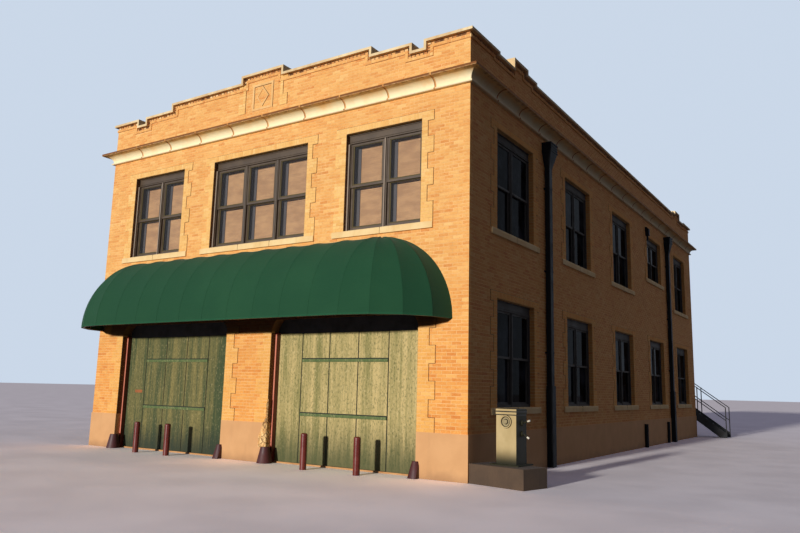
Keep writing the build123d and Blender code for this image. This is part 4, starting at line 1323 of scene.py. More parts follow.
class Teeth:
    """Toothed edges of the surrounds, the quoins and the strips beside the ornament."""

    HEADER_CUT = 0.095
    STRETCHER_CUT = 0.198

    @staticmethod
    def blocks(foot: float, top: float, first: float, narrow: float, wide: float) -> list[Block]:
        """Stacked blocks of a toothed edge.

        Args:
            foot: Where the lowest block starts.
            top: Where the highest ends.
            first: Height of the lowest.
            narrow: Reach of every second block.
            wide: Reach of the others, the lowest among them.

        Returns:
            Reach, foot and top of each block.
        """
        out = []
        level, end, is_wide = foot, foot + first, True
        while level < top - 1e-6:
            end = min(end, top)
            out.append((wide if is_wide else narrow, level, end))
            level, end, is_wide = end, end + Size.TOOTH, not is_wide
        return out

    @classmethod
    def window(cls, o: Opening) -> list[Block]:
        """Blocks beside one window."""
        top = o.head + 2 * Size.COURSE
        return cls.blocks(o.sill, top, 6 * Size.COURSE, Size.SURROUND_NARROW, Size.SURROUND_WIDE)

    @classmethod
    def quoin(cls) -> list[Block]:
        """Blocks beside one engine bay."""
        first = 4 * Size.COURSE
        return cls.blocks(Size.PLINTH_TOP, Size.QUOIN_TOP, first, Size.QUOIN_NARROW, Size.QUOIN_WIDE)

    @classmethod
    def panel(cls) -> list[Block]:
        """Blocks of the strips beside the ornament."""
        first = 4 * Size.COURSE
        return cls.blocks(Size.PANEL_FOOT, Size.PANEL_TOP, first, Size.PANEL_NARROW, Size.PANEL_WIDE)

    @classmethod
    def bricks(cls, side: float, sense: int, blocks: list[Block]) -> list[Box]:
        """Bricks of a toothed edge, bonded course by course.

        Args:
            side: The straight edge that the blocks reach from.
            sense: 1 where they reach to the right and -1 to the left.
            blocks: The blocks.

        Returns:
            Bricks as u0, u1, v0, v1.
        """
        boxes = []
        half = Size.JOINT / 2
        for reach, level, end in blocks:
            for number in range(max(1, round((end - level) / Size.COURSE))):
                v0 = level + number * Size.COURSE + half
                v1 = min(level + (number + 1) * Size.COURSE, end) - half
                cut = cls.HEADER_CUT if number % 2 else cls.STRETCHER_CUT
                cuts = [0.0]
                while cuts[-1] + cut + Size.LEAST_CUT < reach:
                    cuts.append(cuts[-1] + cut)
                    cut = Size.BRICK_PITCH
                cuts.append(reach)
                for a, b in zip(cuts, cuts[1:]):
                    left = a if a == 0 else a + half
                    right = b if b == reach else b - half
                    boxes.append((*between(side, sense, left, right), v0, v1))
        return boxes

    @staticmethod
    def groove(side: float, sense: int, blocks: list[Block]) -> list[Box]:
        """Dark line that follows the outer line of a toothed edge, used as a joint on the other walls and as
        a painted shadow line on the front.

        Args:
            side: The straight edge that the blocks reach from.
            sense: 1 where they reach to the right and -1 to the left.
            blocks: The blocks.

        Returns:
            Pieces of the joint as u0, u1, v0, v1.
        """
        wide = Size.GROOVE
        boxes = []
        for number, (reach, level, end) in enumerate(blocks):
            extra = wide if number % 2 == 0 else 0.0
            boxes.append((*between(side, sense, reach, reach + wide), level, end + extra))
            if number:
                near = blocks[number - 1][0]
                v0 = level if near > reach else level - wide
                boxes.append((*between(side, sense, *sorted((near, reach))), v0, v0 + wide))
        return boxes

    @staticmethod
    def holes(low: float, high: float, blocks: list[Block]) -> list[Hole]:
        """Rectangles that the blocks on both sides of a gap take out of the brick."""
        left = [Hole(low - reach, low, foot, top) for reach, foot, top in blocks]
        return left + [Hole(high, high + reach, foot, top) for reach, foot, top in blocks]


@dataclass
class Brickwork(SubAssembly):
    """All stamped brick of the station."""

    HALF_WIDE = Size.WIDTH / 2
    HALF_DEEP = Size.DEPTH / 2
    PANEL_PROUD = 0.014
    ROUGH = 0.004
    HEADER_GAP = 0.013
    HEADER_LEVEL = -Size.BRICK_PROUD + 0.0012
    GROOVE_LEVEL = -Size.BRICK_PROUD + 0.0056
    REVEAL_LEVEL = GROOVE_LEVEL - 0.002
    CURVE_GAP = 0.003

    stamp: BrickStamp = field(default_factory=BrickStamp)

    def window_holes(self, openings: list[Opening]) -> list[Hole]:
        """Rectangles that windows, their sills and their surrounds take out of the brick.

        Args:
            openings: The windows.

        Returns:
            The rectangles.
        """
        holes = []
        reach = Size.SILL_OVERHANG
        for o in openings:
            holes.append(Hole(o.low, o.high, o.sill, o.head))
            holes.append(Hole(o.low - reach, o.high + reach, o.sill - Size.SILL_HEIGHT, o.sill))
            holes += [Hole(o.low - depth, o.high + depth, foot, top) for depth, foot, top in Teeth.window(o)]
        return holes

    def bay_holes(self) -> list[Hole]:
        """Rectangles of the engine bays and their quoins, stepped in at the bays' rounded heads.

        Returns:
            The rectangles.
        """
        holes = []
        radius = Size.BAY_CORNER
        for low, high in bay_edges():
            holes.append(Hole(low, high, 0, Size.BAY_SPRING))
            holes += Teeth.holes(low, high, Teeth.quoin())
            for number in range(int(radius / Size.COURSE)):
                up = (number + 1) * Size.COURSE
                inset = radius - math.sqrt(max(radius * radius - up * up, 0.0))
                level = Size.BAY_SPRING + number * Size.COURSE
                holes.append(Hole(low + inset, high - inset, level, level + Size.COURSE))
        return holes

    def face(self, name: str, seed: int, wall: WallFace, half: float, openings: list[Opening],
             runs: list[Run], extra: Iterable[Hole] = (), panel: Iterable[Hole] = ()) -> None:
        """Bricks one side from the plinth to the coping, and its parapet's roof side.

        Args:
            name: Name of the piece.
            seed: Seed of its tones.
            wall: The wall's face.
            half: Half of its length.
            openings: Its windows.
            runs: Its parapet's runs.
            extra: Other rectangles with no bricks in the wall.
            panel: Rectangles with no bricks in the parapet.
        """
        over = Size.BRICK_PROUD
        part = BrickField(name, Finish.BRICK, seed)
        holes = self.window_holes(openings) + list(extra)
        part.lay(wall, coursed(-half - over, half + over, Size.PLINTH_TOP, Size.CORNICE_FOOT, holes))
        top = max(run[2] for run in runs)
        limits = Parapet.limits(runs, over, Size.BAND_DROP + Size.COURSE)
        part.lay(wall, coursed(-half - over, half + over, Size.CORNICE_TOP, top, panel, limits))
        back = WallFace(wall.point(0, 0, -Size.WALL), wall.along, -wall.out)
        inner = half - Size.WALL
        limits = Parapet.limits(runs, 0.0, Size.COPING)
        part.lay(back, coursed(-inner, inner, Size.ROOF_TOP, top, (), limits))
        piece = part.build(self.stamp, self.finishes)
        if wall is FRONT:
            self.round_bay_heads(piece)

    def round_bay_heads(self, piece: Piece) -> None:
        """Cuts the bricks that reach into a bay's rounded head back to its curve.

        Args:
            piece: The front wall's bricks.
        """
        radius = Size.BAY_CORNER
        for vertex in piece.data.vertices:
            up = vertex.co.z - Size.BAY_SPRING
            if not 0 < up < radius or vertex.co.y > -Size.DEPTH / 2 + 0.02:
                continue
            inset = radius - math.sqrt(radius * radius - up * up) - self.CURVE_GAP
            for low, high in bay_edges():
                if low < vertex.co.x < low + radius:
                    vertex.co.x = min(vertex.co.x, low + inset)
                if high - radius < vertex.co.x < high:
                    vertex.co.x = max(vertex.co.x, high - inset)

    def reveals(self, part: BrickField, wall: WallFace, openings: list[Opening]) -> None:
        """Bricks the sides of the window reveals, one brick end a course.

        Args:
            part: What the bricks go into.
            wall: The wall's face.
            openings: Its windows.
        """
        for o in openings:
            for jamb in wall.jambs(o.low, o.high):
                part.lay(jamb, coursed(-Size.FRAME_BACK, Size.SURROUND_PROUD, o.sill, o.head), 0.0, 0.0)

    def surrounds(self, part: BrickField, wall: WallFace, openings: list[Opening]) -> None:
        """Bricks the toothed sides and soldier heads of windows.

        Args:
            part: What the bricks go into.
            wall: The wall's face.
            openings: Its windows.
        """
        half = Size.JOINT / 2
        for o in openings:
            for side, sense in outward(o.low, o.high):
                part.lay(wall, Teeth.bricks(side, sense, Teeth.window(o)), Size.SURROUND_PROUD)
            count = round(2 * o.half / Size.COURSE)
            step = 2 * o.half / count
            levels = (o.head + half, o.head + 2 * Size.COURSE - half)
            soldiers = [(*ends, *levels) for ends in equal(o.low, step, count, half)]
            part.lay(wall, soldiers, Size.SURROUND_PROUD)

    def headers(self) -> None:
        """Makes the rough header course under the coping, its dark joints and the proud band, all round."""
        rough = BrickField("header_bricks", Finish.HEADER_BRICK, 17)
        dark = BrickField("header_joints", Finish.RAKED, 19)
        band = BrickField("band_bricks", Finish.BRICK, 18)
        gap = self.HEADER_GAP
        walls = (
            (FRONT, Parapet.front(), self.HALF_WIDE), (RIGHT, Parapet.side(), self.HALF_DEEP),
            (LEFT, Parapet.side(), self.HALF_DEEP), (REAR, Parapet.rear(), self.HALF_WIDE),
        )
        for wall, runs, half in walls:
            ends = Parapet.headers(runs, Size.COPING, half, 2 * gap)
            rough.lay(wall, ends, 0.0, self.ROUGH)
            joints = [(u0 - gap, u1 + gap, v0 - gap, v1 + gap) for u0, u1, v0, v1 in ends]
            dark.lay(wall, joints, self.HEADER_LEVEL, 0.0)
            under = Parapet.headers(runs, Size.BAND_DROP, half + Size.BAND_PROUD, Size.JOINT)
            band.lay(wall, under, Size.BAND_PROUD)
        for part in (rough, dark, band):
            part.build(self.stamp, self.finishes)

    def grooves(self) -> None:
        """Makes the dark lines round the toothed trim: joints on the other walls, and on the front painted
        shadow along the edges that face away from the light. Also makes the dark backing of the front reveals
        and bay jambs, which is painted shade.
        """
        part = BrickField("trim_joints_and_shadow_lines", Finish.GROOVE, 16)
        deep = BrickField("reveal_joints_painted_shade", Finish.RAKED, 22)
        level = self.GROOVE_LEVEL
        for wall, openings in ALL_WALLS:
            for o in openings:
                blocks = Teeth.window(o)
                for side, sense in outward(o.low, o.high):
                    # On the front only the edges that face away from the light get a line: painted shadow.
                    if wall is not FRONT or sense > 0:
                        part.lay(wall, Teeth.groove(side, sense, blocks), level, 0.0)
                top = o.head + 2 * Size.COURSE
                reach = blocks[-1][0]
                part.lay(wall, [(o.low - reach, o.high + reach, top, top + Size.GROOVE)], level, 0.0)
        # The front reveals and bay jambs get a dark backing behind their bricks, so their joints read dark
        # too: painted shade.
        for o in front_openings():
            for jamb in FRONT.jambs(o.low, o.high):
                box = (-Size.FRAME_BACK, Size.SURROUND_PROUD, o.sill, o.head)
                deep.lay(jamb, [box], self.REVEAL_LEVEL, 0.0)
        for low, high in bay_edges():
            for jamb in FRONT.jambs(low, high):
                box = (-Size.BOARD_BACK, Size.SURROUND_PROUD, Size.PLINTH_TOP, Size.BAY_SPRING)
                deep.lay(jamb, [box], self.REVEAL_LEVEL, 0.0)
            # Only the quoin edges and panel strip edges that face away from the light get a line: painted
            # shadow.
            part.lay(FRONT, Teeth.groove(high, 1, Teeth.quoin()), level, 0.0)
        left, right = PANEL_EDGES
        part.lay(FRONT, [(left, left + Size.GROOVE, Size.PANEL_FOOT, Size.PANEL_TOP)], level, 0.0)
        part.lay(FRONT, Teeth.groove(right, 1, Teeth.panel()), level, 0.0)
        part.build(self.stamp, self.finishes)
        deep.build(self.stamp, self.finishes)

    def build(self) -> None:
        """Makes every field of brick."""
        wide, deep = self.HALF_WIDE, self.HALF_DEEP
        bays, strips = self.bay_holes(), Teeth.holes(*PANEL_EDGES, Teeth.panel())
        self.face("front_bricks", 11, FRONT, wide, front_openings(), Parapet.front(), bays, strips)
        self.face("right_bricks", 12, RIGHT, deep, side_openings(1), Parapet.side())
        self.face("left_bricks", 13, LEFT, deep, side_openings(-1), Parapet.side())
        low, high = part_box("rear_door")
        door = Hole(-high[0], -low[0], low[2], high[2])
        self.face("rear_bricks", 14, REAR, wide, rear_openings(), Parapet.rear(), [door])
        trim = BrickField("trim_bricks", Finish.TRIM_BRICK, 15, "trim_brick")
        # Trim and reveals of the other walls use the more orange copy of the trim brick: painted warm light.
        side_lit_trim = BrickField("side_trim_bricks_painted_light", Finish.SIDE_TRIM, 21, "trim_brick")
        # The front window reveals and bay jambs are laid in dark brick: painted shade in these recesses.
        shaded_reveals = BrickField("reveal_bricks_painted_shade", Finish.REVEAL_BRICK, 20)
        self.surrounds(trim, FRONT, front_openings())
        for wall, openings in OTHER_WALLS:
            self.reveals(side_lit_trim, wall, openings)
            self.surrounds(side_lit_trim, wall, openings)
        side_lit_trim.build(self.stamp, self.finishes)
        self.reveals(shaded_reveals, FRONT, front_openings())
        for low, high in bay_edges():
            for side, sense in outward(low, high):
                trim.lay(FRONT, Teeth.bricks(side, sense, Teeth.quoin()), Size.SURROUND_PROUD)
            for jamb in FRONT.jambs(low, high):
                boxes = coursed(-Size.BOARD_BACK, Size.SURROUND_PROUD, Size.PLINTH_TOP, Size.BAY_SPRING)
                shaded_reveals.lay(jamb, boxes, 0.0, 0.0)
        shaded_reveals.build(self.stamp, self.finishes)
        for side, sense in outward(*PANEL_EDGES):
            trim.lay(FRONT, Teeth.bricks(side, sense, Teeth.panel()), self.PANEL_PROUD)
        trim.build(self.stamp, self.finishes)
        self.headers()
        self.grooves()


# Cloth, boards, joinery and stone


@dataclass
class Awning(SubAssembly):
    """Fabric awning: a barrel of arched bays between two domed ends."""

    axis: float = Size.AWNING_AXIS
    width: float = 11.02
    reach: float = 1.42
    end: float = 1.73
    foot: float = 3.07
    rise: float = 1.77
    gores: int = 4
    bays: int = 10
    sag: float = 0.022
    hem: float = 0.035
    steps: int = 6
    rows: int = 22
    seam: float = 0.014

    def rim(self) -> list[Span]:
        """Plan corners of the rim, from the left wall end round to the right one.

        Returns:
            Each corner's place along the wall and distance off it.
        """
        half = self.width / 2 - self.end
        turns = [math.pi / 2 * n / self.gores for n in range(self.gores + 1)]
        dome = [(self.end * math.sin(t), self.reach * math.cos(t)) for t in turns]
        left = [(-x - half, y) for x, y in reversed(dome)]
        barrel = [(-half + 2 * half * n / self.bays, self.reach) for n in range(1, self.bays)]
        return left + barrel + [(x + half, y) for x, y in dome]

    def surface(self, along: float, up: float, lift: float = 0.0) -> Vector:
        """Point of the cloth.

        Args:
            along: Rim corner number, with the share of the way to the next one.
            up: Angle up the arch, from 0 at the rim to a right angle at the wall.
            lift: How far outwards of the cloth.

        Returns:
            The point.
        """
        rim = self.rim()
        half = self.width / 2 - self.end
        poles = [min(max(x, -half), half) for x, _ in rim]
        number = min(int(along), len(rim) - 2)
        share = along - number
        x = rim[number][0] * (1 - share) + rim[number + 1][0] * share
        y = rim[number][1] * (1 - share) + rim[number + 1][1] * share
        pole = poles[number] * (1 - share) + poles[number + 1] * share
        dip = self.sag * 4 * share * (1 - share) * math.sin(up) ** 0.6
        cos, sin = math.cos(up), math.sin(up)
        shrink = 1 - (dip - lift) * cos / max(math.hypot(x - pole, y), 0.2)
        px = pole + (x - pole) * cos * shrink
        py = y * cos * shrink
        pz = self.rise * sin - (dip - lift) * sin
        return Vector((self.axis + px, -Size.DEPTH / 2 - py, self.foot + pz))

    def cover(self) -> Piece:
        """Makes the stretched cloth itself.

        Returns:
            The cloth.
        """
        last = len(self.rim()) - 1
        cover = grid("awning_cloth", last * self.steps, self.rows)
        mesh = cover.data
        flat = [(v.co.x + 0.5, v.co.y + 0.5) for v in mesh.vertices]
        for vertex, (s, t) in zip(mesh.vertices, flat):
            vertex.co = self.surface(s * last, t * math.pi / 2)
        layer = mesh.uv_layers[0] if mesh.uv_layers else mesh.uv_layers.new()
        layer.name = "cloth"
        for loop in mesh.loops:
            s, t = flat[loop.vertex_index]
            layer.data[loop.index].uv = (s * 15.9, t * 2.52)
        modify(cover, "SOLIDIFY", thickness=0.003, offset=-1.0, use_even_offset=False)
        self.finishes.dress(cover, Finish.CLOTH)
        return cover

    def ribbon(self, name: str, lines: list[list[tuple[Vector, Vector]]], finish: Finish) -> Piece:
        """Makes thin strips of cloth.

        Args:
            name: Name of the piece.
            lines: Pairs of opposite edge points, in order along each strip.
            finish: Its finish.

        Returns:
            The piece.
        """
        piece = strip_piece(name, lines)
        layer = piece.data.uv_layers.new(name="cloth")
        for loop in piece.data.loops:
            co = piece.data.vertices[loop.vertex_index].co
            layer.data[loop.index].uv = (co.x, co.z)
        modify(piece, "SOLIDIFY", thickness=0.002, offset=1.0)
        self.finishes.dress(piece, finish)
        return piece

    def seams(self) -> Piece:
        """Makes the folded seams over every rib.

        Returns:
            The seams.
        """
        lines = []
        for number in range(1, len(self.rim()) - 1):
            turns = [math.pi / 2 * n / 24 * 0.985 for n in range(25)]
            near, far = number - self.seam, number + self.seam
            lines.append([(self.surface(near, up, 0.001), self.surface(far, up, 0.001)) for up in turns])
        return self.ribbon("awning_seams", lines, Finish.CLOTH)

    def hem_band(self) -> Piece:
        """Makes the turned hem along the rim.

        Returns:
            The hem.
        """
        places = [n / self.steps for n in range((len(self.rim()) - 1) * self.steps + 1)]
        top = self.hem / self.rise
        line = [(self.surface(along, 0.0, 0.002), self.surface(along, top, 0.002)) for along in places]
        return self.ribbon("awning_hem", [line], Finish.HEM)

    def build(self) -> None:
        cover = self.cover()
        seams = self.seams()
        hem = self.hem_band()
        for piece in (cover, seams, hem):
            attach(piece, "root")
        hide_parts("awning_cover")


@dataclass
class BayBoards(SubAssembly):
    """Boards and rails of the two closed engine bays."""

    # Pale strips on the edges of the red jamb posts: painted highlight.
    HIGHLIGHT_FACE = (0.11, 0.1215)
    HIGHLIGHT_WIDE = (0.003, 0.045)
    HIGHLIGHT_TALL = (0.37, 2.87)
    RUST_WIDE = (0.37, 0.66)
    RUST_TALL = (1.44, 1.515)

    side_strip: float = 0.74
    strip: float = 0.782
    groove: float = 0.026
    thick: float = 0.010
    rails: Span = (1.085, 2.275)
    rail_half: float = 0.029
    foot: float = 0.035
    header: float = 2.888
    play: float = 0.004

    def board(self, u: Span, v: Span, rounded: int = 0, extra: float = 0.0) -> Piece:
        """One board with eased edges.

        Args:
            u: Left and right edge.
            v: Foot and top.
            rounded: -1 or 1 where its outer top corner follows the rounded bay head, otherwise 0.
            extra: How much thicker than a plain board it is.

        Returns:
            The board.
        """
        board = cube("board")
        thick = self.thick + extra
        board.scale = (u[1] - u[0], thick, v[1] - v[0])
        board.location = FRONT.point(sum(u) / 2, sum(v) / 2, -Size.BOARD_BACK + thick / 2)
        settle(board)
        if rounded:
            self.round_corner(board, u[1] if rounded > 0 else u[0], v)
        modify(board, "BEVEL", width=0.002, segments=2)
        return board

    def round_corner(self, board: Piece, side: float, v: Span) -> None:
        """Rounds one top corner of a board.

        Args:
            board: The board.
            side: Where the corner is along the wall.
            v: Foot and top of the board.
        """
        bpy.context.view_layer.objects.active = board
        bpy.ops.object.mode_set(mode="EDIT")
        bpy.ops.mesh.select_all(action="DESELECT")
        bpy.ops.object.mode_set(mode="OBJECT")
        for edge in board.data.edges:
            ends = [board.data.vertices[i].co for i in edge.vertices]
            edge.select = all(abs(p.x - side) < 1e-4 and p.z > v[1] - 1e-4 for p in ends)
        bpy.ops.object.mode_set(mode="EDIT")
        bpy.ops.mesh.select_mode(type="EDGE")
        bpy.ops.mesh.bevel(offset=min(Size.BAY_CORNER, v[1] - v[0] - self.play), segments=10)
        bpy.ops.object.mode_set(mode="OBJECT")

    def boards(self, cuts: list[float]) -> list[Piece]:
        """Boards of one bay.

        Args:
            cuts: Edges of its strips, from jamb to jamb.

        Returns:
            The boards.
        """
        gap, rail = self.groove / 2, self.rail_half
        first, second = self.rails
        tall = (self.foot, self.header)
        stretches = ((self.foot, first - rail), (first + rail, second - rail), (second + rail, self.header))
        boards = [self.board((cuts[0], cuts[1] - gap), tall), self.board((cuts[4] + gap, cuts[5]), tall)]
        for a, b in zip(cuts[1:4], cuts[2:5]):
            u = (a + gap, b - gap)
            boards += [self.board(u, (v0 + self.play, v1 - self.play)) for v0, v1 in stretches]
        return boards

    def build(self) -> None:
        """Makes the boards, rails, near-black headers that are painted shade, pale jamb edges that are
        painted highlight, and kerbs of both bays.
        """
        gap, play, half = self.groove / 2, self.play, self.rail_half
        over = (self.header + play, Size.BAY_SPRING + Size.BAY_CORNER - play)
        worn = tuple(out - Size.BOARD_BACK for out in self.HIGHLIGHT_FACE)
        near, far = self.HIGHLIGHT_WIDE
        finishes = (Finish.LEFT_BOARDS, Finish.RIGHT_BOARDS)
        for side, finish, (low, high) in zip(("left", "right"), finishes, bay_edges()):
            cuts = [low + 0.002, *(low + self.side_strip + self.strip * n for n in range(4)), high - 0.002]
            self.join(side + "_bay_boards", self.boards(cuts), finish, "green_boards")
            u = (cuts[1] + gap, cuts[4] - gap)
            rails = [self.board(u, (r - half - 0.002, r + half + 0.002), 0, 0.014) for r in self.rails]
            self.join(side + "_bay_rails", rails, Finish.RAILS, "green_boards")
            middle = (low + high) / 2
            # Near-black boards in the rounded bay heads stand for the shade under the awning: painted shade.
            headers = [self.board((low + play, middle), over, -1), self.board((middle, high - play), over, 1)]
            self.join(side + "_bay_shade_header", headers, Finish.HEADER, "green_boards")
            # Pale strips on the jamb posts: painted highlight.
            ends = ((low + near, low + far), (high - far, high - near))
            edges = [dressed_box(FRONT, u, self.HIGHLIGHT_TALL, worn, 0.002) for u in ends]
            self.join(side + "_jamb_highlights", edges, Finish.WORN_JAMB, "red_metal")
            if side == "left":
                patch = self.board(tuple(low + end for end in self.RUST_WIDE), self.RUST_TALL, 0, 0.0012)
                self.join("rust_patch", [patch], Finish.RUST, "green_boards")
            kerb = self.board((low + play, high - play), (0.0, self.foot - 0.002), 0, 0.05)
            self.join(side + "_bay_kerb", [kerb], Finish.KERB, "concrete")


@dataclass
class Blinds(SubAssembly):
    """Closed slatted blinds behind the front windows."""

    LAYERS = ((0.0, 0.004), (0.5, 0.0), (1.0, -0.004), (0.0, 0.0025), (0.5, -0.0015), (1.0, -0.0055))
    FACES = ((0, 1, 3, 2), (8, 9, 7, 6), (2, 3, 5, 4), (10, 11, 9, 8), (0, 6, 7, 1), (4, 5, 11, 10))

    pitch: float = 0.046
    slat: float = 0.050
    back: float = 0.290
    liner: float = 0.158

    def build(self) -> None:
        """Makes all slats as one piece that stands for the plain blinds, and the liners beside them."""
        points, faces, liners = [], [], []
        for o in front_openings():
            for number in range(o.lights):
                low = o.light(number) + 0.008
                v = (o.sill + Size.FRAME_BAR + 0.01, o.head - Size.HEAD_PANEL)
                w = (-self.back + 0.007, -self.back + 0.019)
                liners.append(dressed_box(FRONT, (low - 0.004, low + self.liner), v, w, 0.002))
                self.slats(points, faces, (low, low + o.each - 0.016), v)
        piece = mesh_piece("front_blind_slats", np.array(points), np.array(faces))
        self.finishes.dress(piece, Finish.BLIND)
        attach(piece, "root")
        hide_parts("front_blinds")
        self.join("front_window_liners", liners, Finish.LINER, "grey_joinery")

    def slats(self, points: list[tuple], faces: list[tuple], u: Span, v: Span) -> None:
        """Adds the slats of one light, each a shallow bent strip.

        Args:
            points: Points so far.
            faces: Faces so far.
            u: Left and right edge of the light.
            v: Its foot and top.
        """
        count = int((v[1] - v[0]) / self.pitch)
        step = (v[1] - v[0]) / count
        for number in range(count):
            start = len(points)
            foot = v[0] + number * step
            for up, out in self.LAYERS:
                level = foot + up * self.slat * 0.98
                points += [tuple(FRONT.point(end, level, -self.back + out)) for end in u]
            faces += [tuple(start + corner for corner in face) for face in self.FACES]


@dataclass
class WindowBeads(SubAssembly):
    """Moulded beads under each head panel and along each mullion, and stops and beads of the front sashes."""

    RAILS = (
        (0.0, 0.030, 0.016), (Size.HEAD_PANEL - 0.060, 0.018, 0.012), (Size.HEAD_PANEL - 0.022, 0.022, 0.020),
    )
    UPPER_GLASS = -0.143
    LOWER_GLASS = -0.179
    LAP = 0.001
    BEAD_LEFT = 0.034
    BEAD_FOOT = 0.030
    BEAD = 0.016
    BEAD_DEEP = 0.010

    sash_bar: float = 0.048
    skin: float = -Size.FRAME_BACK

    def build(self) -> None:
        """Makes the beads of the front windows and of all the others."""
        for name, make, finish in (
            ("front_window_beads", self.beads, Finish.DARK_JOINERY),
            ("front_window_stops", self.stops, Finish.BEAD),
            ("front_sash_beads", self.sash_beads, Finish.SASH_BEAD),
        ):
            parts = [part for o in front_openings() for part in make(FRONT, o)]
            self.join(name, parts, finish, "dark_joinery")
        others = [part for face, openings in OTHER_WALLS for o in openings for part in self.beads(face, o)]
        self.join("other_window_beads", others, Finish.GREY_JOINERY, "grey_joinery")

    def sash_beads(self, face: WallFace, o: Opening) -> list[Piece]:
        """Glazing beads round every pane of one window.

        Args:
            face: The wall's face.
            o: The window.

        Returns:
            The beads.
        """
        bar, lap, bead = self.sash_bar, self.LAP, self.BEAD
        foot, top = o.sill + Size.FRAME_BAR, o.head - Size.HEAD_PANEL
        middle = (foot + top) / 2
        upper = (middle + bar / 2, top - bar, self.UPPER_GLASS)
        lower = (foot + bar, middle - bar / 2, self.LOWER_GLASS)
        parts = []
        for number in range(o.lights):
            left = o.light(number) + bar
            right = left + o.each - 2 * bar
            for low, high, glass in (upper, lower):
                w = (glass - lap, glass + self.BEAD_DEEP)
                under = (w[0] + lap / 2, w[1] - lap)
                for u in ((left - lap, left + self.BEAD_LEFT), (right - bead, right + lap)):
                    parts.append(dressed_box(face, u, (low - lap, high + lap), w, 0.002))
                for v in ((low - lap, low + self.BEAD_FOOT), (high - bead, high + lap)):
                    parts.append(dressed_box(face, (left, right), v, under, 0.002))
        return parts

    def upright(self, face: WallFace, middle: float, half: float, v: Span, w: Span, ease: float) -> Piece:
        """One upright bead."""
        depth = (self.skin + w[0], self.skin + w[1])
        return dressed_box(face, (middle - half, middle + half), v, depth, ease)

    def stops(self, face: WallFace, o: Opening) -> list[Piece]:
        """Outer stops of one window and the rounded bead of its mullion.

        Args:
            face: The wall's face.
            o: The window.

        Returns:
            The stops.
        """
        v = (o.sill + 0.003, o.head - Size.HEAD_PANEL - 0.003)
        edges = (o.low + 0.024, o.high - 0.024)
        parts = [self.upright(face, edge, 0.016, v, (0.001, 0.046), 0.004) for edge in edges]
        if o.lights == 2:
            parts.append(self.upright(face, o.middle, 0.013, v, (0.015, 0.030), 0.006))
        return parts

    def beads(self, face: WallFace, o: Opening) -> list[Piece]:
        """Beads of one window.

        Args:
            face: The wall's face.
            o: The window.

        Returns:
            The beads.
        """
        parts = []
        for drop, high, proud in self.RAILS:
            top = o.head - drop
            u, w = (o.low + 0.004, o.high - 0.004), (self.skin - 0.01, self.skin + proud)
            parts.append(dressed_box(face, u, (top - high, top - 0.002), w, 0.004))
        head = o.head - Size.HEAD_PANEL - 0.004
        for number in range(1, o.lights):
            middle = o.light(number) - Size.MULLION / 2
            parts.append(self.upright(face, middle, 0.016, (o.sill + 0.01, head), (-0.01, 0.014), 0.005))
        for edge in (o.low + 0.012, o.high - 0.012) if face is not FRONT else ():
            parts.append(self.upright(face, edge, 0.010, (o.sill + 0.004, head), (-0.01, 0.010), 0.004))
        return parts


@dataclass
class StoneJoints(SubAssembly):
    """Raked joints of the sills and of the moulded cornice."""

    pitch: float = 1.18
    wide: float = 0.012
    smear: float = 0.044

    def cornice_line(self) -> list[Span]:
        """Profile of the cornice from its bead to its top edge.

        Returns:
            Distance off the wall and height of each point.
        """
        bead = [(0.060, -0.0005), (0.0745, 0.009), (0.0805, 0.0225), (0.0745, 0.036), (0.060, 0.0455)]
        line = bead + [(0.0410, 0.0460), (0.0410, 0.065)]
        turns = [math.pi / 2 * n / 10 for n in range(1, 11)]
        line += [(0.243 - 0.202 * math.cos(t), 0.065 + 0.169 * math.sin(t)) for t in turns]
        return [(out, Size.CORNICE_FOOT + up) for out, up in line + [(0.278, 0.234), (0.278, 0.2905)]]

    def strip(self, face: WallFace, u: float, wide: float, lift: float) -> Piece:
        """One joint across the cornice.

        Args:
            face: The wall's face.
            u: Middle of the joint.
            wide: Its width.
            lift: How far it is lifted off the cornice.

        Returns:
            The joint.
        """
        ends = (u - wide / 2, u + wide / 2)
        line = [tuple(face.point(end, up, out + lift) for end in ends) for out, up in self.cornice_line()]
        strip = strip_piece("joint", [line])
        modify(strip, "SOLIDIFY", thickness=0.0016, offset=1.0)
        return strip

    def build(self) -> None:
        """Makes the joints of all sills and of the cornice."""
        parts = []
        for face, openings in ALL_WALLS:
            for o in openings:
                v = (o.sill - Size.SILL_HEIGHT + 0.002, o.sill + 0.0015)
                for u in (o.middle,) if o.lights == 2 else (o.middle - o.half / 3, o.middle + o.half / 3):
                    parts.append(dressed_box(face, (u - 0.005, u + 0.005), v, (-0.08, 0.0462)))
        self.join("sill_joints", parts, Finish.JOINT, "cast_stone")
        strips, smears = [], []
        for face, count, middle in ((FRONT, 9, 0.22), (RIGHT, 17, 0.1), (LEFT, 17, -0.1), (REAR, 9, 0.0)):
            for n in range(count):
                place = middle + (n - (count - 1) / 2) * self.pitch
                strips.append(self.strip(face, place, self.wide, 0.0012))
                smears.append(self.strip(face, place + self.wide, self.smear, 0.0))
        self.join("cornice_joints", strips, Finish.JOINT, "cast_stone")
        self.join("cornice_smears", smears, Finish.SMEAR, "cast_stone")


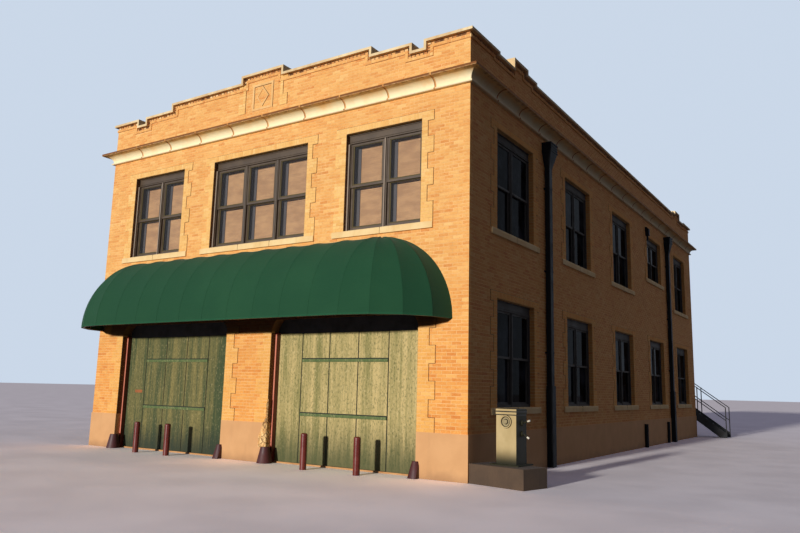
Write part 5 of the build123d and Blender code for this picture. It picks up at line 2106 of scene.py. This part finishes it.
@dataclass
class ParapetOrnament(SubAssembly):
    """Dark lines beside the square ring and the diamond under the crest: painted shadow along the edges that
    face away from the light.
    """

    FACES = ((0, 1, 2, 3), (4, 5, 6, 7), (0, 1, 5, 4), (1, 2, 6, 5), (2, 3, 7, 6), (3, 0, 4, 7))

    ring_half: float = 0.345
    ring: float = 0.058
    middle: float = 8.795
    half_wide: float = 0.205
    half_high: float = 0.255
    line: float = 0.010
    layers: Span = (0.002, 0.0072)

    def build(self) -> None:
        """Makes painted shadow lines along those edges of the ring, its inside and the diamond that face away
        from the light.
        """
        inside = self.ring_half - self.ring
        wide, high = self.half_wide, self.half_high
        parts = []
        for half, sense, sides in ((self.ring_half, 1, (1,)), (inside, -1, (2, 3))):
            parts += self.outline([(-half, -half), (half, -half), (half, half), (-half, half)], sense, sides)
        parts += self.outline([(0, -high), (wide, 0), (0, high), (-wide, 0)], 1, (0, 1))
        self.join("ornament_shadow_lines", parts, Finish.RAKED, "trim_brick")

    def outline(self, corners: list[Span], sense: int, sides: Iterable[int]) -> list[Piece]:
        """Flat closed bands along some sides of an outline.

        Args:
            corners: Corners of the outline about its middle, anticlockwise.
            sense: 1 for bands outside it and -1 for bands inside it.
            sides: Numbers of the sides that get a band.

        Returns:
            The bands.
        """
        ring = np.array(corners)
        edge = ring[1] - ring[0]
        reach = abs(edge[0] * ring[0][1] - edge[1] * ring[0][0]) / np.hypot(*edge)
        other = ring * (1 + sense * self.line / reach)
        centre = np.array((Size.FRONT_AXIS, self.middle))
        bands = []
        for n in sides:
            m = (n + 1) % len(ring)
            band = [point + centre for point in (ring[n], ring[m], other[m], other[n])]
            points = [tuple(FRONT.point(*point, layer)) for layer in self.layers for point in band]
            bands.append(mesh_piece("line", np.array(points), np.array(self.FACES)))
        return bands


@dataclass
class DownspoutTrim(SubAssembly):
    """Straps and leader-head rims of the two square downspouts on the right wall."""

    middles: Span = (-6.485, 5.95)
    half: float = 0.085
    front: float = 0.15
    straps: Run = (2.6, 4.55, 6.6)
    strap: float = 0.04
    head_top: float = 7.76
    head_half: float = 0.21
    head_deep: float = 0.24
    rims: tuple[Run, ...] = (
        (0.0, 0.035, 0.020), (0.085, 0.022, 0.012), (0.150, 0.022, 0.012), (0.208, 0.026, 0.016),
    )

    def build(self) -> None:
        """Makes the trim of both downspouts."""
        parts = []
        plates = ((0.045, (0.001, 0.007), 0.001), (0.006, (0.004, self.front + 0.006), 0.002))
        for middle in self.middles:
            for level in self.straps:
                for over, w, ease in plates:
                    u = (middle - self.half - over, middle + self.half + over)
                    parts.append(dressed_box(RIGHT, u, (level, level + self.strap), w, ease))
            for drop, high, proud in self.rims:
                top = self.head_top - drop
                u = (middle - self.head_half - proud, middle + self.head_half + proud)
                w = (0.002, self.head_deep + proud)
                parts.append(dressed_box(RIGHT, u, (top - high, top + 0.001), w, 0.004))
        self.join("downspout_trim", parts, Finish.IRON, "dark_iron")


@dataclass
class BrokenCorner(SubAssembly):
    """Knocked-off corner of the middle pier beside the right bay."""

    seed: int = 7
    profile: tuple[Span, ...] = (
        (0.33, 0.215), (0.42, 0.235), (0.60, 0.220), (0.70, 0.165), (0.80, 0.140), (0.875, 0.110),
        (0.93, 0.060), (0.99, 0.032), (1.08, 0.050), (1.14, 0.020), (1.25, 0.034), (1.32, 0.014),
        (1.40, 0.008),
    )
    columns: int = 14
    pitch: float = 0.014
    ragged: float = 0.012

    def build(self) -> None:
        """Makes the rough faces on the pier's front and on its jamb, over the plinth and over the brick."""
        edge = Size.FRONT_AXIS + Size.BAY_INNER
        jamb = FRONT.jambs(edge, edge)[0]
        low = (self.profile[0][0], Size.PLINTH_TOP - 0.001)
        high = (Size.PLINTH_TOP + 0.001, self.profile[-1][0])
        parts = [
            self.rough(FRONT, edge + 0.004, 1.0, low, 0.020, 0.020, self.seed),
            self.rough(FRONT, edge + 0.008, 1.0, high, Size.SURROUND_PROUD + 0.006, 0.016, self.seed + 1),
            self.rough(jamb, 0.020, 0.8, low, 0.0, 0.012, self.seed + 2),
            self.rough(jamb, 0.014, 0.5, high, 0.006, 0.008, self.seed + 3),
        ]
        self.join("broken_corner", parts, Finish.RUBBLE, "trim_brick")

    def rough(self, face: WallFace, side: float, share: float, v: Span, base: float, lift: float,
              seed: int) -> Piece:
        """One rough sheet with a ragged edge.

        Args:
            face: Face that it lies on.
            side: Its straight edge at the corner.
            share: Its width as a share of the profile's.
            v: Its foot and top.
            base: Distance of its rim off the face.
            lift: How far its lumps stand off the rim.
            seed: Seed of its lumps.

        Returns:
            The sheet.
        """
        rng = np.random.default_rng(seed)
        columns, rows = self.columns, max(8, int((v[1] - v[0]) / self.pitch))
        sheet = grid("rough", columns, rows)
        ragged = rng.uniform(-self.ragged, self.ragged, rows + 1)
        lumps = rng.uniform(0.0, 1.0, (columns // 2 + 2, rows // 2 + 2))
        levels, widths = zip(*self.profile)
        for vertex in sheet.data.vertices:
            s, t = vertex.co.x + 0.5, vertex.co.y + 0.5
            row, column = int(round(t * rows)), int(round(s * columns))
            level = v[0] + (v[1] - v[0]) * t
            width = max(float(np.interp(level, levels, widths)) * share + ragged[row], 0.008)
            rim = column in (0, columns) or row in (0, rows)
            lump = lumps[column // 2, row // 2] * 0.7 + rng.uniform(0.0, 0.3)
            out = base + (0.0 if rim else 0.002 + lift * lump)
            vertex.co = face.point(side - width * (1 - s), level, out)
        modify(sheet, "SOLIDIFY", thickness=0.004, offset=-1.0)
        return sheet


@dataclass
class CabinetTrim(SubAssembly):
    """Dial, cap lines and lever grips of the cabinet at the front right corner."""

    place: tuple[float, float, float] = (6.485, -10.16, 0.36)
    turn: float = -6.0
    wide: float = 0.42
    deep: float = 0.38
    dial_level: float = 0.786
    dial_radius: float = 0.115
    dial_bore: float = 0.092
    levers: tuple[Span, ...] = ((-0.020, 70.0), (-0.215, 125.0))
    caps: tuple[Run, ...] = ((0.900, 0.018, 0.0015), (0.958, 0.022, 0.0085))

    def frame(self) -> Matrix:
        """Place of the cabinet's foot."""
        return Matrix.Translation(self.place) @ Matrix.Rotation(math.radians(self.turn), 4, "Z")

    def dial_frame(self, front: float) -> Matrix:
        """Place on the dial's axis, so far in front of the cabinet."""
        centre = Matrix.Translation((0, -self.deep / 2 - front, self.dial_level))
        return self.frame() @ centre @ Matrix.Rotation(math.pi / 2, 4, "X")

    def ring(self, outer: float, inner: float, front: float, deep: float) -> Piece:
        """Turned ring on the dial's axis.

        Args:
            outer: Outer radius.
            inner: Inner radius.
            front: Distance of its middle in front of the cabinet.
            deep: Its depth.

        Returns:
            The ring.
        """
        radii = {"major_radius": (outer + inner) / 2, "minor_radius": (outer - inner) / 2}
        ring = add("ring", bpy.ops.mesh.primitive_torus_add, major_segments=48, minor_segments=10, **radii)
        ring.data.transform(self.dial_frame(front) @ Matrix.Scale(deep / (outer - inner), 4, (0, 0, 1)))
        return ring

    def disc(self, radius: float, front: float, dish: float) -> Piece:
        """Thin dished disc inside the dial.

        Args:
            radius: Its radius.
            front: Distance of its middle in front of the cabinet.
            dish: How far its middle is pressed in.

        Returns:
            The disc.
        """
        round_sheet = {"vertices": 48, "radius": radius, "depth": 0.003, "end_fill_type": "TRIFAN"}
        disc = add("disc", bpy.ops.mesh.primitive_cylinder_add, **round_sheet)
        for vertex in disc.data.vertices:
            if math.hypot(vertex.co.x, vertex.co.y) < 1e-5:
                vertex.co.z -= dish
        disc.data.transform(self.dial_frame(front))
        return disc

    def grip(self, drop: float, tilt: float) -> Piece:
        """Grip of one lever.

        Args:
            drop: Height of the lever's foot against the dial's middle.
            tilt: Tilt of the lever in degrees.

        Returns:
            The grip.
        """
        grip = add("grip", bpy.ops.mesh.primitive_cylinder_add, vertices=20, radius=0.019, depth=0.052)
        foot = Matrix.Translation((self.wide / 2 + 0.020, 0.040, self.dial_level + drop))
        lean = Matrix.Rotation(math.radians(tilt), 4, "Y") @ Matrix.Translation((0, 0, 0.119))
        grip.data.transform(self.frame() @ foot @ lean)
        modify(grip, "BEVEL", width=0.004, segments=2)
        return grip

    def build(self) -> None:
        """Makes the trim."""
        radius, bore = self.dial_radius, self.dial_bore
        dark = [
            self.ring(radius + 0.006, radius - 0.014, 0.010, 0.026),
            self.ring(bore + 0.004, bore - 0.008, 0.026, 0.008),
            self.ring(0.050, 0.038, 0.010, 0.012),
        ]
        self.join("dial_rings", dark, Finish.DIAL, "green_metal")
        lines = []
        for level, high, over in self.caps:
            u, w = ((-side / 2 - over, side / 2 + over) for side in (self.wide, self.deep))
            line = dressed_box(FRONT, u, (level, level + high), w, 0.001)
            line.data.transform(self.frame() @ Matrix.Translation(-FRONT.origin))
            lines.append(line)
        self.join("cap_lines", lines, Finish.DIAL, "green_metal")
        bright = [self.disc(bore - 0.002, 0.006, 0.003), self.disc(0.036, 0.0295, 0.0)]
        self.join("dial_plate", bright, Finish.BRIGHT_DIAL, "green_metal")
        self.join("lever_grips", [self.grip(*lever) for lever in self.levers], Finish.GRIP, "green_metal")


# Floor, light and camera


class Studio:
    """Floor, light and camera."""

    EYE = Vector((12.168, -22.795, 1.683))
    TURN = Vector((1.6933, 0.4812, 0.4403))
    LENS = 32.41
    SUN_DIRECTION = Vector((0.05, 1.0, -0.13))
    FLOOR_GAIN = (33.0, 33.0, 33.0)

    def build(self) -> None:
        """Sets the whole studio."""
        self.floor()
        self.light()
        self.camera()

    def floor(self) -> None:
        """Plain floor, dark in the light that it throws back and pale to look at."""
        floor = add("studio_floor", bpy.ops.mesh.primitive_plane_add, size=900.0, location=(0, 0, -0.002))
        n = Nodes("studio_floor")
        tone = n.mix(n.band(n.noise(n.place(), 0.6, 3.0), 0.3, 0.7), 0x3C3A3A, 0x403E3E)
        shown = n.tint(tone, self.FLOOR_GAIN)
        n.seen_or_lit(n.add("BsdfDiffuse", Color=tone), n.add("BsdfDiffuse", Color=shown), "OutputMaterial")
        floor.data.materials.append(n.owner)

    def light(self) -> None:
        """One soft low sun from the front left and a pale surround."""
        world = bpy.data.worlds.new("surround")
        bpy.context.scene.world = world
        n = Nodes("surround", world)
        surround = n.add("Background", Color=(0.72, 0.73, 1.0), Strength=0.128)
        shown = n.add("Background", Color=(0.66, 0.76, 0.90), Strength=0.9)
        n.seen_or_lit(surround, shown, "OutputWorld")
        sun = bpy.data.lights.new("key", "SUN")
        sun.energy = 3.25
        sun.angle = math.radians(2.5)
        sun.color = (1.0, 0.97, 0.92)
        lamp = bpy.data.objects.new("key", sun)
        lamp.rotation_euler = self.SUN_DIRECTION.to_track_quat("-Z", "Y").to_euler()
        bpy.context.scene.collection.objects.link(lamp)

    def camera(self) -> None:
        """Camera at the photograph's place and angle."""
        data = bpy.data.cameras.new("camera")
        data.lens = self.LENS
        data.sensor_width = 36.0
        data.sensor_fit = "HORIZONTAL"
        data.clip_end = 2000.0
        camera = bpy.data.objects.new("camera", data)
        turn = Matrix.Rotation(self.TURN.length, 4, self.TURN.normalized())
        camera.matrix_world = Matrix.Translation(self.EYE) @ turn
        bpy.context.scene.collection.objects.link(camera)
        bpy.context.scene.camera = camera


def main() -> None:
    """Dresses the CAD nodes and builds the station's classes in order."""
    logging.basicConfig(level=logging.INFO, format="%(message)s")
    bpy.context.scene.view_settings.view_transform = "Standard"
    finishes = Finishes()
    for finish, nodes in NODE_FINISHES.items():
        for node in nodes:
            finishes.dress(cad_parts[node], finish)
    for assembly in (Brickwork, Awning, BayBoards, Blinds, WindowBeads, StoneJoints, ParapetOrnament,
                     DownspoutTrim, BrokenCorner, CabinetTrim):
        assembly(finishes).build()
    Studio().build()


if __name__ == "__main__":
    main()
